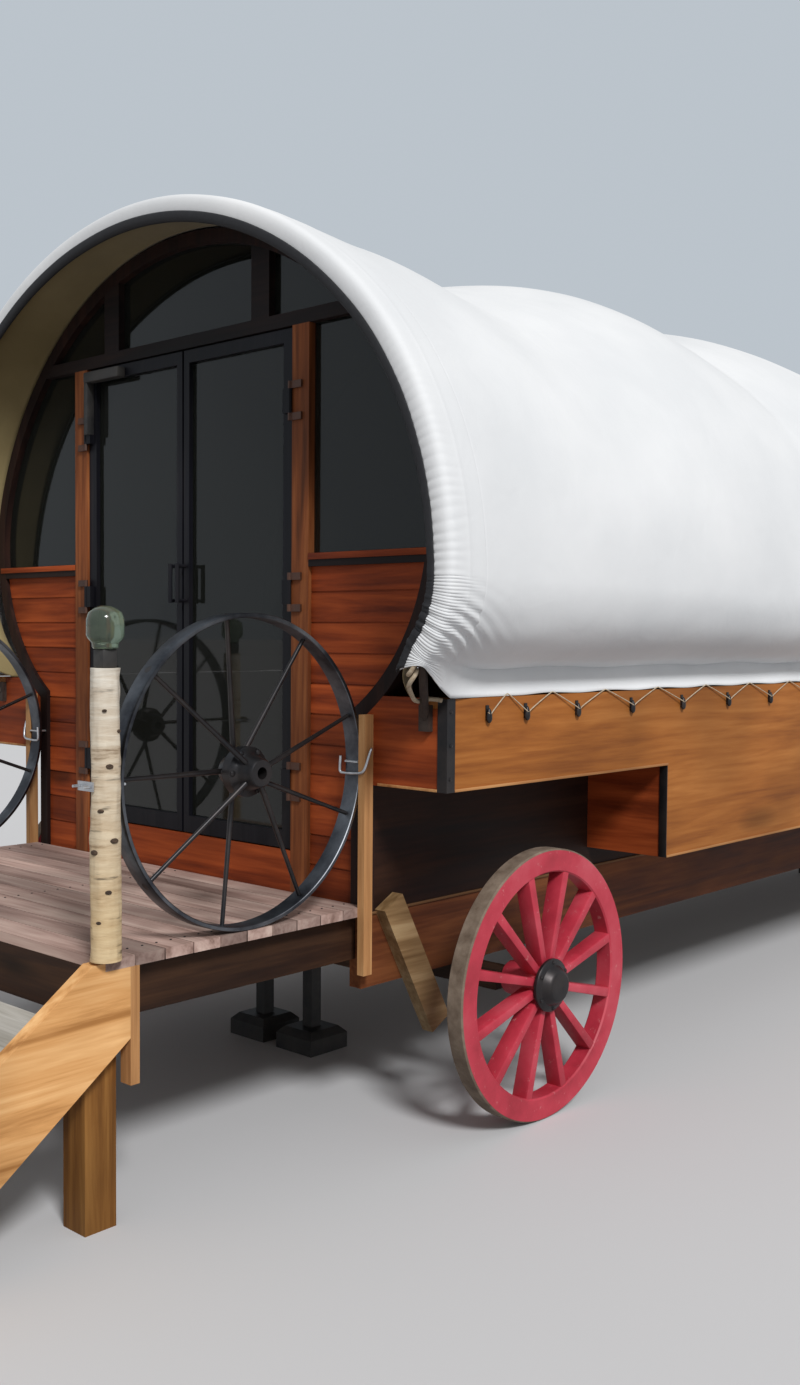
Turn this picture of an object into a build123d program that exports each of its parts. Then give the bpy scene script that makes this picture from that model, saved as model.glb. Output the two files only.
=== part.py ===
from build123d import *
from math import acos, atan2, cos, degrees, radians, sin, sqrt
import os

# A covered wagon that stands as a small cabin: a narrow timber body with side boxes over its
# wheels, a canvas cover on steel bows, a glazed front wall with two doors, a deck with steps,
# two iron wheels as deck rails, four red timber wheels and jack stands.
# X is the width, Y the length with the deck and steps towards -Y, Z is up. The origin is on
# the ground below the middle of the whole wagon. Lengths along the wagon are counted from the
# front wall's outer face and moved by front_wall when each part is written. Sizes are in mm.

# Body: floor, sills and side boxes
floor_top = 744.0
body_half = 911.0
plank = 30.0
first_bow = 1700.0
bow_spacing = 1370.0
bow_count = 3
body_length = 2 * first_bow + (bow_count - 1) * bow_spacing
sill_width = 50.0
sill_bottom = 474.0
joist_width = 50.0
joist_depth = 140.0
joist_count = 8
end_beam_depth = 180.0
box_half = 1262.0
box_top = 1415.0
box_bottom = 1132.0
well_bottom = 788.0
well_start = 1266.0
cap_width = 90.0
corner_leg = 35.0
corner_metal = 3.0

# End walls: the arched frame, its members and the glass
wall_depth = 60.0
arch_inset = 7.0
arch_radius = box_half - arch_inset
arch_height = 1030.0
arch_centre = floor_top + arch_height
arch_turn = 20.0
arch_side_radius = 745.0
arch_band = 48.0
door_half = 580.0
door_post = 80.0
door_height = 1878.0
header_bottom = floor_top + door_height
header_height = 46.0
ledge_height_above_floor = 1128.0
ledge_top = floor_top + ledge_height_above_floor
ledge_height = 44.0
stud_place = 420.0
stud_width = 90.0
threshold_height = 136.0
cladding_depth = 30.0
cladding_board = 100.0
groove_width = 6.0
groove_depth = 4.0
glass_depth = 6.0
rear_window_half = 330.0
rear_window_sill = 1000.0
rear_window_bottom = floor_top + rear_window_sill
rear_window_height = 560.0
rear_frame_width = 50.0

# Doors
door_gap = 5.0
meeting_gap = 10.0
leaf_depth = 40.0
leaf_setback = 8.0
stile = 45.0
meeting_stile = 30.0
top_rail = 45.0
bottom_rail = 60.0
knuckle_radius = 7.0
knuckle_gap = 1.0
knuckle_height = 80.0
eye_height = 24.0
hinge_heights = (230.0, 860.0, 1490.0)
handle_height = 900.0
handle_length = 140.0
handle_radius = 8.0
handle_arm_radius = 6.0
handle_reach = 42.0

# Cover: the canvas, the bows that carry it and the rim at each end
cover_spread = 200.0
cover_half = arch_radius + cover_spread
rim_flare = 12.0
rim_half = cover_half + rim_flare
rim_rise = 55.0
bow_rise = 115.0
sag_rise = 50.0
first_sag_rise = 0.0
rim_overhang = 236.0
crown_turn = 45.0
canvas_depth = 10.0
crease_tuck = 240.0
crease_half = cover_half - crease_tuck
crease_above = 86.0
crease_height = box_top + crease_above
rim_crease_tuck = 95.0
rim_crease_half = rim_half - rim_crease_tuck
rim_crease_above = 119.0
rim_crease_height = box_top + rim_crease_above
rim_foot_tuck = 177.0
rim_foot_half = rim_half - rim_foot_tuck
skirt_start = 250.0
tuck_runs, shoulder_runs, crown_runs = 3, 4, 10
sag_runs = 2
mouth_lip = 74.0
edging_radius = 8.0
bow_radius = 19.0
bow_clearance = 6.0
rim_bow_clearance = 11.0
bow_foot_radius = 45.0
stay_radius = 13.0
stay_inset = 77.0
stay_drop = 60.0
stay_pad = 40.0
stay_pad_depth = 20.0
knuckle_radius_rim = 24.0
knuckle_length = 56.0
knuckle_shift = 12.0
lining_inset = 70.0
lining_depth = 4.0
lining_spread = 11.0
lining_half = arch_radius + lining_spread
lining_tuck = 161.0
lining_end = 20.0
bar_sides = 6

# Deck, rails and posts
deck_half = 931.0
deck_depth = 990.0
deck_board_count = 10
deck_board_gap = 5.0
bearer_width = 45.0
bearer_depth = 145.0
iron_wheel_radius = 461.0
iron_wheel_side = 899.0
iron_wheel_along = -480.0
iron_rim_width = 40.0
iron_rim_depth = 12.0
iron_spoke_radius = 7.0
iron_spoke_count = 9
iron_spoke_lean = 44.0
iron_hub_radius = 48.0
iron_hub_end_radius = 40.0
iron_hub_flange = 74.0
iron_hub_length = 150.0
wall_post_width = 28.0
wall_post_depth = 38.0
wall_post_bottom = 530.0
wall_post_top = 1355.0
log_radius = 42.0
log_top_radius = 39.0
log_top = 1514.0
log_side = 925.0
log_along = -985.0
lantern_base = 46.0
lantern_base_height = 50.0
jar_radius = 49.5
jar_foot_radius = 34.0
jar_mouth_radius = 14.0
jar_height = 112.0
clamp_radius = 4.0
clamp_end = 25.0
clamp_plate = 5.0
clamp_plate_height = 25.0

# Steps
step_rise = 186.0
step_going = 252.0
tread_count = 3
tread_depth = 250.0
tread_thick = 40.0
stringer_width = 45.0
stringer_back = -910.0
stringer_head = -1030.0
stringer_head_drop = 8.0
stringer_heel_drop = 224.0
toe_height = 100.0
leg_size = 100.0
leg_along = -975.0
cleat_drop = 353.0
cleat_width = 30.0

# Running gear and stands
wheel_radius = 451.0
wheel_along = 535.0
felloe_depth = 77.0
felloe_width = 65.0
rim_sides = 32
turned_sides = 16
spoke_seat = 8.0
spoke_count = 12
spoke_depth = 58.0
spoke_root = 26.0
spoke_tip = 34.0
nave_radius = 70.0
nave_back_radius = 56.0
nave_length = 160.0
cap_radius = 88.0
hub_cap_length = 48.0
cap_flange = 17.0
cap_shoulder_radius = 57.0
cap_nose_radius = 48.0
cap_edge = 7.0
spindle_radius = 22.0
spindle_clearance = 0.08
axle_width = 80.0
axle_depth = 70.0
axle_half = 1070.0
brace_width = 95.0
brace_depth = 45.0
brace_top_along = 105.0
brace_bottom_along = 345.0
brace_bottom = 300.0
jack_side = 135.0
jack_post = 50.0
jack_foot = 195.0
jack_foot_height = 85.0
jack_foot_slope = 25.0
seat = 0.3

# Where the front wall's face lies once the whole wagon is centred on the origin
slope = step_rise / step_going
stringer_toe = stringer_head - (floor_top - stringer_head_drop - toe_height) / slope
wall_foot = floor_top - plank
cover_back = body_length + rim_overhang + edging_radius - canvas_depth / 2
front_wall = -(stringer_toe + cover_back) / 2
spring = arch_centre
bow_inset = canvas_depth + bow_clearance + bow_radius
rim_bow_inset = canvas_depth + rim_bow_clearance + knuckle_radius_rim
stay_side = box_half - stay_inset
# Each curve of the cover: half width, top, half width at the crease, height of the crease.
arch_top = arch_centre + arch_radius
rim = (rim_half, arch_top + rim_rise, rim_crease_half, rim_crease_height)
bow_curve = (cover_half, arch_top + bow_rise, crease_half, crease_height)
lining_throat = (lining_half, spring + lining_half, lining_half - lining_tuck, crease_height)


def board(x, y, z):
    """A squared piece from its low and high places along each axis."""
    return Pos((x[0] + x[1]) / 2, (y[0] + y[1]) / 2, (z[0] + z[1]) / 2) * Box(
        x[1] - x[0], y[1] - y[0], z[1] - z[0]
    )


def both_sides(piece):
    """The piece and its mirror image across the wagon's middle plane."""
    return [piece, mirror(piece, about=Plane.YZ)]


def both_ends(piece):
    """The piece and its mirror image across the middle of the body's length."""
    middle = Plane(origin=(0, body_length / 2, 0), z_dir=(0, 1, 0))
    return [piece, mirror(piece, about=middle)]


def all_corners(piece):
    return [corner for side in both_sides(piece) for corner in both_ends(side)]


def arc(centre, radius, start, end):
    """An arc by its centre and its first and last angle, in degrees."""
    turn = [radians(angle) for angle in (start, (start + end) / 2, end)]
    return ThreePointArc(*[(centre[0] + radius * cos(a), centre[1] + radius * sin(a)) for a in turn])


def upright(flat, along):
    """A flat drawing in width and height, stood up at a place along the wagon."""
    return Plane.XZ.offset(-along) * flat


def slab(flat, start, end):
    """A flat drawing given its thickness along the wagon."""
    return extrude(upright(flat, start), amount=end - start, dir=(0, 1, 0))


def wall_outline(inset, bottom):
    """The end wall's outline: legs on the narrow body, wider side arcs and a round top."""
    radius, side = arch_radius - inset, arch_side_radius - inset
    swing = arch_radius - arch_side_radius
    x, z = swing * cos(radians(arch_turn)), arch_centre + swing * sin(radians(arch_turn))
    leg = body_half - inset
    foot = degrees(acos((leg - x) / side))
    leg_top = z - side * sin(radians(foot))
    return make_face(
        [
            Line((leg, bottom), (leg, leg_top)),
            arc((x, z), side, -foot, arch_turn),
            arc((0, arch_centre), radius, arch_turn, 180 - arch_turn),
            arc((-x, z), side, 180 - arch_turn, 180 + foot),
            Line((-leg, leg_top), (-leg, bottom)),
            Line((-leg, bottom), (leg, bottom)),
        ]
    )


def inside_arch(piece, start, end):
    """What of a wall member lies within the arched frame."""
    return piece & slab(wall_outline(arch_band + seat, wall_foot), start, end)


def rod(start, end, radius, sides=bar_sides):
    """A straight bar between two points: a round piece, drawn with flat sides."""
    run = Vector(*end) - Vector(*start)
    return extrude(Plane(origin=start, z_dir=run) * RegularPolygon(radius, sides), amount=run.length)


def turned(profile, plane=Plane.YZ, sides=turned_sides):
    """A piece turned about the plane's axis, from places along it and the radius at each."""
    rings = [plane.offset(place) * RegularPolygon(radius, sides) for place, radius in profile]
    return loft(rings, ruled=True)


def cover_arcs(cover, inset=0.0):
    """The cover's curve from its right crease over the top to the left one, offset inwards."""
    half, top, crease_half, crease_height = cover
    rise, turn = top - spring, radians(crown_turn)
    step = (half - rise) / (cos(turn) + sin(turn) - 1)
    crown = rise + step * sin(turn)
    shoulder = crown - step
    reach = half - shoulder
    span, drop = half - crease_half, spring - crease_height
    tuck = (span**2 + drop**2) / (2 * span)
    end = degrees(acos((crease_half - half + tuck) / tuck))
    return [
        arc((half - tuck, spring), tuck - inset, -end, 0),
        arc((reach, spring), shoulder - inset, 0, crown_turn),
        arc((0, top - crown), crown - inset, crown_turn, 180 - crown_turn),
        arc((-reach, spring), shoulder - inset, 180 - crown_turn, 180),
        arc((tuck - half, spring), tuck - inset, 180, 180 + end),
    ]


def cover_line(cover, inset):
    """Points along the cover's curve, from its right crease over the top to the left one."""
    arcs = cover_arcs(cover, inset)
    runs = (tuck_runs, shoulder_runs, crown_runs, shoulder_runs, tuck_runs)
    points = [edge @ (n / count) for edge, count in zip(arcs, runs) for n in range(count)]
    return points + [arcs[-1] @ 1]


def cover_strip(cover, inset, depth, foot_half, foot_height):
    """A cut through the cloth: a band along the cover's curve, with skirts down to its foot."""
    outer, inner = cover_line(cover, inset), cover_line(cover, inset + depth)
    feet = [Vector(half, foot_height) for half in (foot_half, -foot_half, depth - foot_half)]
    last = Vector(foot_half - depth, foot_height)
    return make_face(
        Polyline(feet[0], *outer, feet[1], feet[2], *reversed(inner), last, close=True)
    )


def cover_rows():
    """Places along the cover, its curve there and half its width at the foot."""
    tops = [
        (skirt_start, rim_rise),
        (first_bow / 2, first_sag_rise),
        *((first_bow + bow_spacing / 2 * n, bow_rise if n % 2 == 0 else sag_rise)
          for n in range(2 * bow_count - 1)),
    ]
    tops += [(body_length - along, rise) for along, rise in tops[1::-1]]
    rows = [(-rim_overhang, rim, rim_foot_half)]
    for (along, rise), (next_along, next_rise) in zip(tops, tops[1:]):
        for n in range(sag_runs):
            part = n / sag_runs
            eased = part * part * (3 - 2 * part)
            top = arch_top + rise + (next_rise - rise) * eased
            curve = (cover_half, top, crease_half, crease_height)
            rows.append((along + (next_along - along) * part, curve, box_half))
    curve = (cover_half, arch_top + rim_rise, crease_half, crease_height)
    rows.append((body_length - skirt_start, curve, box_half))
    return rows + [(body_length + rim_overhang, rim, rim_foot_half)]


def free_corner():
    """What is missing below each rim, where the cover runs back on a slope to the side box."""
    edge = [
        (-rim_overhang - bow_foot_radius, box_top - canvas_depth),
        (-rim_overhang - bow_foot_radius, rim_crease_height),
        (-rim_overhang, rim_crease_height),
        (0, box_top + seat),
        (canvas_depth, box_top - canvas_depth),
    ]
    wedge = Plane.YZ * make_face(Polyline(*edge, close=True))
    return extrude(wedge, amount=2 * rim_half, both=True)


def bar_along(points, along, radius):
    """A bent bar through points in width and height, stood up at a place along the wagon.

    One corner of its cut points outwards, so that it reaches its full radius there."""
    places = [Vector(point.X, along, point.Y) for point in points]
    runs = [(after - before).normalized() for before, after in zip(places, places[1:])]
    headings = [runs[0], *(before + after for before, after in zip(runs, runs[1:])), runs[-1]]
    rings = [
        Plane(origin=place, x_dir=(0, 1, 0), z_dir=heading)
        * RegularPolygon(radius, bar_sides, rotation=90)
        for place, heading in zip(places, headings)
    ]
    return loft(rings, ruled=True)


def make_cover():
    """The canvas: a wavy tube of cloth with a gathered lip round the mouth at each end."""
    foot = box_top + seat
    strips = [
        upright(cover_strip(curve, 0, canvas_depth, foot_half, foot), along)
        for along, curve, foot_half in cover_rows()
    ]
    cloth = loft(strips, ruled=True)
    lip = slab(
        cover_strip(rim, 0, mouth_lip, rim_crease_half, rim_crease_height - canvas_depth),
        -rim_overhang,
        -rim_overhang + canvas_depth,
    )
    for piece in both_ends(lip):
        cloth += piece
    for cut in both_ends(free_corner()):
        cloth -= cut
    return cloth


def make_lining():
    """The cloth cone behind the rim, from the lip back to the arched wall."""
    foot = box_top + seat
    mouth = cover_strip(rim, lining_inset, lining_depth, rim_crease_half - lining_inset, foot)
    throat = cover_strip(lining_throat, 0, lining_depth, lining_half - lining_tuck, foot)
    mouth_along = -rim_overhang + canvas_depth + seat
    cone = loft([upright(mouth, mouth_along), upright(throat, lining_end)], ruled=True)
    return cone - free_corner()


def make_bow(along):
    """One steel bow: an arch that tucks in below and stands on the box's cap rails."""
    line = cover_line(bow_curve, bow_inset)
    heading = (line[0] - line[1]).normalized()
    bend_centre = line[0] + Vector(-heading.Y, heading.X) * bow_foot_radius
    bend_end = bend_centre - Vector(bow_foot_radius, 0)
    halfway = (line[0] + bend_end) / 2 - bend_centre
    bend_middle = bend_centre + halfway.normalized() * bow_foot_radius
    foot = [Vector(bend_end.X, box_top + seat), bend_end, bend_middle]
    other = [Vector(-point.X, point.Y) for point in reversed(foot)]
    return bar_along([*foot, *line, *other], along, bow_radius)


def make_rim_bow():
    """The end bow, with a knuckle and a stay at each end back to a pad on the box's end board."""
    along = -rim_overhang + rim_bow_inset
    line = cover_line(rim, rim_bow_inset)
    bow = bar_along(line, along, bow_radius)
    tip, heading = line[0], (line[1] - line[0]).normalized()
    collar = [tip + heading * place for place in (-knuckle_shift, knuckle_length - knuckle_shift)]
    knuckle = rod(*[(point.X, along, point.Y) for point in collar], knuckle_radius_rim)
    start = (tip.X - knuckle_shift, along, tip.Y)
    stay = rod(start, (stay_side, -stay_radius, box_top - stay_drop), stay_radius)
    pad = board(
        (stay_side - stay_pad / 2, stay_side + stay_pad / 2),
        (-stay_pad_depth, 0),
        (box_top - stay_drop - stay_pad, box_top - stay_drop + stay_pad),
    )
    for piece in both_sides(stay + knuckle + pad):
        bow += piece
    return bow


def make_edging():
    """The dark cord sewn round the mouth of the cover."""
    line = cover_line(rim, mouth_lip + edging_radius + seat)
    return bar_along(line, -rim_overhang + canvas_depth / 2, edging_radius)


def make_wheel():
    """A red timber wheel about the X axis: felloe, spokes and nave, outer face towards +X."""
    inner = wheel_radius - felloe_depth
    ring = RegularPolygon(wheel_radius, rim_sides) - RegularPolygon(inner, rim_sides)
    wheel = extrude(Plane.YZ * ring, amount=felloe_width / 2, both=True)
    wheel += turned(
        [
            (-nave_length + felloe_width / 2, nave_back_radius),
            (-spoke_depth / 2, nave_radius),
            (felloe_width / 2, nave_radius),
        ]
    )
    spoke = make_face(
        Polyline(
            (-spoke_root / 2, nave_radius - spoke_seat),
            (-spoke_tip / 2, inner + spoke_seat),
            (spoke_tip / 2, inner + spoke_seat),
            (spoke_root / 2, nave_radius - spoke_seat),
            close=True,
        )
    )
    spoke = extrude(Plane.YZ * spoke, amount=spoke_depth / 2, both=True)
    for turn in range(spoke_count):
        wheel += Rot(360 / spoke_count * turn, 0, 0) * spoke
    bore = RegularPolygon(spindle_radius + spindle_clearance, turned_sides, major_radius=False)
    return wheel - extrude(Plane.YZ * bore, amount=2 * nave_length, both=True)


def make_cap():
    """The dark iron cap over the nave's outer end."""
    return turned(
        [
            (0, cap_radius),
            (cap_flange, cap_radius),
            (hub_cap_length - cap_edge, cap_shoulder_radius),
            (hub_cap_length, cap_nose_radius),
        ]
    )


def make_iron_wheel():
    """An old iron wheel about the X axis: a flat band rim, thin rod spokes and a flanged hub."""
    band = RegularPolygon(iron_wheel_radius, rim_sides)
    band -= RegularPolygon(iron_wheel_radius - iron_rim_depth, rim_sides)
    wheel = extrude(Plane.YZ * band, amount=iron_rim_width / 2, both=True)
    half = iron_hub_length / 2
    wheel += turned(
        [
            (-half, iron_hub_end_radius),
            (-half + iron_rim_depth, iron_hub_radius),
            (half - iron_rim_depth, iron_hub_radius),
            (half, iron_hub_end_radius),
        ]
    )
    wheel += turned([(-iron_rim_width / 2, iron_hub_flange), (iron_rim_width / 2, iron_hub_flange)])
    for turn in range(iron_spoke_count):
        lean = iron_spoke_lean if turn % 2 else -iron_spoke_lean
        reach = iron_wheel_radius - iron_rim_depth / 2
        spoke = rod((lean, 0, iron_hub_end_radius / 2), (0, 0, reach), iron_spoke_radius)
        wheel += Rot(360 / iron_spoke_count * turn, 0, 0) * spoke
    return wheel


parts = {}

# Floor frame
sill = board((body_half - sill_width, body_half), (0, body_length), (sill_bottom, floor_top - plank))
parts["sills"] = both_sides(sill)
beam_half = body_half - sill_width
joist_pitch = body_length / (joist_count + 1)
joists = [
    board(
        (-beam_half, beam_half),
        (joist_pitch * n - joist_width / 2, joist_pitch * n + joist_width / 2),
        (floor_top - plank - joist_depth, floor_top - plank),
    )
    for n in range(1, joist_count + 1)
]
end_beam = board(
    (-beam_half, beam_half),
    (0, joist_width),
    (floor_top - plank - end_beam_depth, floor_top - plank),
)
parts["floor_beams"] = joists + both_ends(end_beam)
floor_half = body_half - plank - seat
parts["floor"] = [
    board(
        (-floor_half, floor_half),
        (wall_depth + seat, body_length - wall_depth - seat),
        (wall_foot, floor_top),
    )
]

# Side boxes
well_end = body_length - well_start
side_profile = Polyline(
    (wall_depth, wall_foot),
    (wall_depth, box_bottom),
    (well_start + plank, box_bottom),
    (well_start + plank, well_bottom),
    (well_end - plank, well_bottom),
    (well_end - plank, box_bottom),
    (body_length - wall_depth, box_bottom),
    (body_length - wall_depth, wall_foot),
    close=True,
)
inner_side = Plane.YZ.offset(body_half - plank) * make_face(side_profile)
parts["body_sides"] = both_sides(extrude(inner_side, amount=plank))
hat = Polyline(
    (plank, box_bottom),
    (well_start, box_bottom),
    (well_start, well_bottom),
    (well_end, well_bottom),
    (well_end, box_bottom),
    (body_length - plank, box_bottom),
    (body_length - plank, box_bottom + plank),
    (well_end - plank, box_bottom + plank),
    (well_end - plank, well_bottom + plank),
    (well_start + plank, well_bottom + plank),
    (well_start + plank, box_bottom + plank),
    (plank, box_bottom + plank),
    close=True,
)
box_wall = box_half - plank
hat_face = Plane.YZ.offset(body_half) * make_face(hat)
parts["box_floors"] = both_sides(extrude(hat_face, amount=box_wall - body_half))
parts["upper_side_boards"] = both_sides(
    board((box_wall, box_half), (0, body_length), (box_bottom, box_top - plank))
)
parts["lower_side_boards"] = both_sides(
    board((box_wall, box_half), (well_start, well_end), (well_bottom, box_bottom))
)
parts["cap_rails"] = both_sides(
    board((box_half - cap_width, box_half), (0, body_length), (box_top - plank, box_top))
)
box_end = board((body_half, box_wall), (0, plank), (box_bottom, box_top - plank))
box_end += board((body_half, box_half - cap_width), (0, plank), (box_bottom, box_top))
box_end -= slab(wall_outline(-seat, wall_foot), -plank, 2 * plank)
parts["box_ends"] = all_corners(box_end.solids()[0])
corner = board(
    (box_half - corner_leg, box_half + corner_metal), (-corner_metal, 0), (box_bottom, box_top)
)
corner += board(
    (box_half, box_half + corner_metal), (-corner_metal, corner_leg), (box_bottom, box_top)
)
parts["corner_irons"] = all_corners(corner)

# Front wall
ring = wall_outline(0, wall_foot) - wall_outline(arch_band, wall_foot - plank)
front_arch = slab(ring, 0, wall_depth)
rear_start = body_length - wall_depth
parts["front_arch"] = [front_arch]
post_outer = door_half + door_post
header_top = header_bottom + header_height
post = board((door_half, post_outer), (0, wall_depth), (wall_foot, header_bottom))
parts["front_posts"] = both_sides(post)
header = board((-arch_radius, arch_radius), (0, wall_depth), (header_bottom, header_top))
parts["front_header"] = [inside_arch(header, 0, wall_depth)]
ledge = board((post_outer, arch_radius), (0, wall_depth), (ledge_top - ledge_height, ledge_top))
stud = board(
    (stud_place - stud_width / 2, stud_place + stud_width / 2),
    (0, wall_depth),
    (header_top, arch_top),
)
parts["front_rails"] = both_sides(inside_arch(ledge, 0, wall_depth)) + both_sides(
    inside_arch(stud, 0, wall_depth)
)
parts["front_threshold"] = [
    board((-door_half, door_half), (0, wall_depth), (wall_foot, floor_top + threshold_height))
]
clad_front = (wall_depth - cladding_depth) / 2
clad = board(
    (post_outer, arch_radius),
    (clad_front, clad_front + cladding_depth),
    (wall_foot, ledge_top - ledge_height),
)
clad = inside_arch(clad, clad_front, clad_front + cladding_depth)
for row in range(1, int((ledge_top - ledge_height - floor_top) / cladding_board) + 1):
    height = floor_top + row * cladding_board
    clad -= board(
        (post_outer - plank, arch_radius),
        (clad_front - groove_depth, clad_front + groove_depth),
        (height - groove_width / 2, height + groove_width / 2),
    )
parts["front_cladding"] = both_sides(clad)
pane_start = (wall_depth - glass_depth) / 2
pane_end = pane_start + glass_depth
side_pane = board((post_outer, arch_radius), (pane_start, pane_end), (ledge_top, header_bottom))
outer_pane = board(
    (stud_place + stud_width / 2, arch_radius), (pane_start, pane_end), (header_top, arch_top)
)
middle_pane = board(
    (-stud_place + stud_width / 2, stud_place - stud_width / 2),
    (pane_start, pane_end),
    (header_top, arch_top),
)
panes = both_sides(inside_arch(side_pane, pane_start, pane_end))
panes += both_sides(inside_arch(outer_pane, pane_start, pane_end))
parts["front_panes"] = panes + [inside_arch(middle_pane, pane_start, pane_end)]

# Doors, each with its glass, hinged on the outer posts
leaf_bottom = floor_top + threshold_height + door_gap
leaf_top = header_bottom - door_gap
leaf_edge = door_half - door_gap
leaf_inner = meeting_gap / 2
leaf_back = leaf_setback + leaf_depth
light = ((leaf_inner + meeting_stile, leaf_edge - stile), (leaf_bottom + bottom_rail, leaf_top - top_rail))
leaf = board((leaf_inner, leaf_edge), (leaf_setback, leaf_back), (leaf_bottom, leaf_top))
leaf -= board(light[0], (leaf_setback - plank, leaf_back + plank), light[1])
hinge_x = door_half - door_gap / 2
hinge_y = -knuckle_radius - knuckle_gap
hinge_plates = []
for height in hinge_heights:
    z = leaf_bottom + height
    ends = [(hinge_x, hinge_y, z + side * knuckle_height / 2) for side in (-1, 1)]
    leaf += rod(*ends, knuckle_radius)
    leaf += board(
        (leaf_edge - stile + plank / 2, hinge_x),
        (hinge_y - knuckle_radius / 2, leaf_setback),
        (z - knuckle_height / 2, z + knuckle_height / 2),
    )
    for end in (-1, 1):
        middle = z + end * ((knuckle_height + eye_height) / 2 + seat)
        ends = [(hinge_x, hinge_y, middle + side * eye_height / 2) for side in (-1, 1)]
        eye = rod(*ends, knuckle_radius)
        eye += board(
            (hinge_x, post_outer - plank),
            (hinge_y, 0),
            (middle - eye_height / 2, middle + eye_height / 2),
        )
        hinge_plates.append(eye)
handle_x = leaf_inner + meeting_stile / 2
handle_z = leaf_bottom + handle_height
grip_y = leaf_setback - handle_reach
grip_ends = [(handle_x, grip_y, handle_z + end * handle_length / 2) for end in (-1, 1)]
grip = rod(*grip_ends, handle_radius)
for end in (-1, 1):
    arm_z = handle_z + end * (handle_length / 2 - handle_radius)
    grip += rod((handle_x, leaf_setback, arm_z), (handle_x, grip_y, arm_z), handle_arm_radius)
leaf += grip
pane = board(
    light[0],
    (leaf_setback + (leaf_depth - glass_depth) / 2, leaf_setback + (leaf_depth + glass_depth) / 2),
    light[1],
)
for side, name in enumerate(("right", "left")):
    parts["door_" + name] = [both_sides(leaf)[side]]
    parts["door_glass_" + name] = [both_sides(pane)[side]]
parts["hinge_plates"] = [piece for plate in hinge_plates for piece in both_sides(plate)]

# Rear wall: the same arch, clad all over, with one window
parts["rear_arch"] = [slab(ring, rear_start, body_length)]
back_start = rear_start + clad_front
window = (
    (-rear_window_half, rear_window_half),
    (rear_window_bottom, rear_window_bottom + rear_window_height),
)
back = slab(wall_outline(arch_band + seat, wall_foot), back_start, back_start + cladding_depth)
back -= board(window[0], (rear_start - plank, body_length + plank), window[1])
for row in range(1, int((arch_top - floor_top) / cladding_board)):
    height = floor_top + row * cladding_board
    back -= board(
        (-arch_radius, arch_radius),
        (back_start + cladding_depth - groove_depth, back_start + 2 * cladding_depth),
        (height - groove_width / 2, height + groove_width / 2),
    )
parts["rear_cladding"] = [back]
frame = board(window[0], (rear_start, body_length), window[1])
frame -= board(
    [end * (rear_window_half - rear_frame_width) for end in (-1, 1)],
    (rear_start - plank, body_length + plank),
    (window[1][0] + rear_frame_width, window[1][1] - rear_frame_width),
)
parts["rear_window"] = [frame]
parts["rear_pane"] = [
    board(
        [end * (rear_window_half - rear_frame_width) for end in (-1, 1)],
        (rear_start + pane_start, rear_start + pane_end),
        (window[1][0] + rear_frame_width, window[1][1] - rear_frame_width),
    )
]

# Cover
parts["canvas"] = [make_cover()]
parts["bows"] = [make_bow(first_bow + n * bow_spacing) for n in range(bow_count)]
parts["rim_bows"] = both_ends(make_rim_bow())
parts["rim_edging"] = both_ends(make_edging())
parts["overhang_linings"] = both_ends(make_lining())

# Deck and its rails
pitch = deck_depth / deck_board_count
parts["deck_boards"] = [
    board(
        (-deck_half, deck_half),
        (-pitch * (n + 1), -pitch * n - deck_board_gap),
        (floor_top - plank, floor_top),
    )
    for n in range(deck_board_count)
]
bearer_z = (floor_top - plank - bearer_depth, floor_top - plank)
stringer_inner = deck_half - stringer_width
bearer_back = -deck_depth + bearer_width
parts["deck_bearers"] = [
    board((x - bearer_width / 2, x + bearer_width / 2), (bearer_back, 0), bearer_z)
    for x in (-stringer_inner + bearer_width / 2, 0, stringer_inner - bearer_width / 2)
]
parts["deck_front_beam"] = [board((-stringer_inner, stringer_inner), (-deck_depth, bearer_back), bearer_z)]
iron_centre = floor_top + seat + iron_wheel_radius
iron_wheel = Pos(iron_wheel_side, iron_wheel_along, iron_centre) * make_iron_wheel()
parts["iron_wheel_right"] = [iron_wheel]
parts["iron_wheel_left"] = [both_sides(iron_wheel)[1]]
parts["wall_posts"] = both_sides(
    board(
        (deck_half, deck_half + wall_post_width),
        (-wall_post_depth, 0),
        (wall_post_bottom, wall_post_top),
    )
)
clamp_side = iron_rim_width / 2 + clamp_radius + seat
log_axis = Plane(origin=(log_side, log_along, 0))
log = turned([(floor_top, log_radius), (log_top, log_top_radius)], log_axis)
for end in (-1, 1):
    hole = [
        (iron_wheel_side + end * clamp_side, log_along + reach * log_radius, iron_centre)
        for reach in (-2, 2)
    ]
    log -= rod(*hole, clamp_radius + seat)
parts["birch_posts"] = both_sides(log)
lantern = board(
    (log_side - lantern_base / 2, log_side + lantern_base / 2),
    (log_along - lantern_base / 2, log_along + lantern_base / 2),
    (log_top, log_top + lantern_base_height),
)
parts["lantern_bases"] = both_sides(lantern)
jar_foot = log_top + lantern_base_height
jar = turned(
    [
        (jar_foot, jar_foot_radius),
        (jar_foot + jar_height / 6, jar_foot_radius),
        (jar_foot + jar_height / 3, jar_radius),
        (jar_foot + jar_height * 2 / 3, jar_radius),
        (jar_foot + jar_height, jar_mouth_radius),
    ],
    log_axis,
    turned_sides // 2,
)
parts["lantern_jars"] = both_sides(jar)
rim_inner = iron_wheel_radius - iron_rim_depth - clamp_radius - seat
clamps = []
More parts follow.
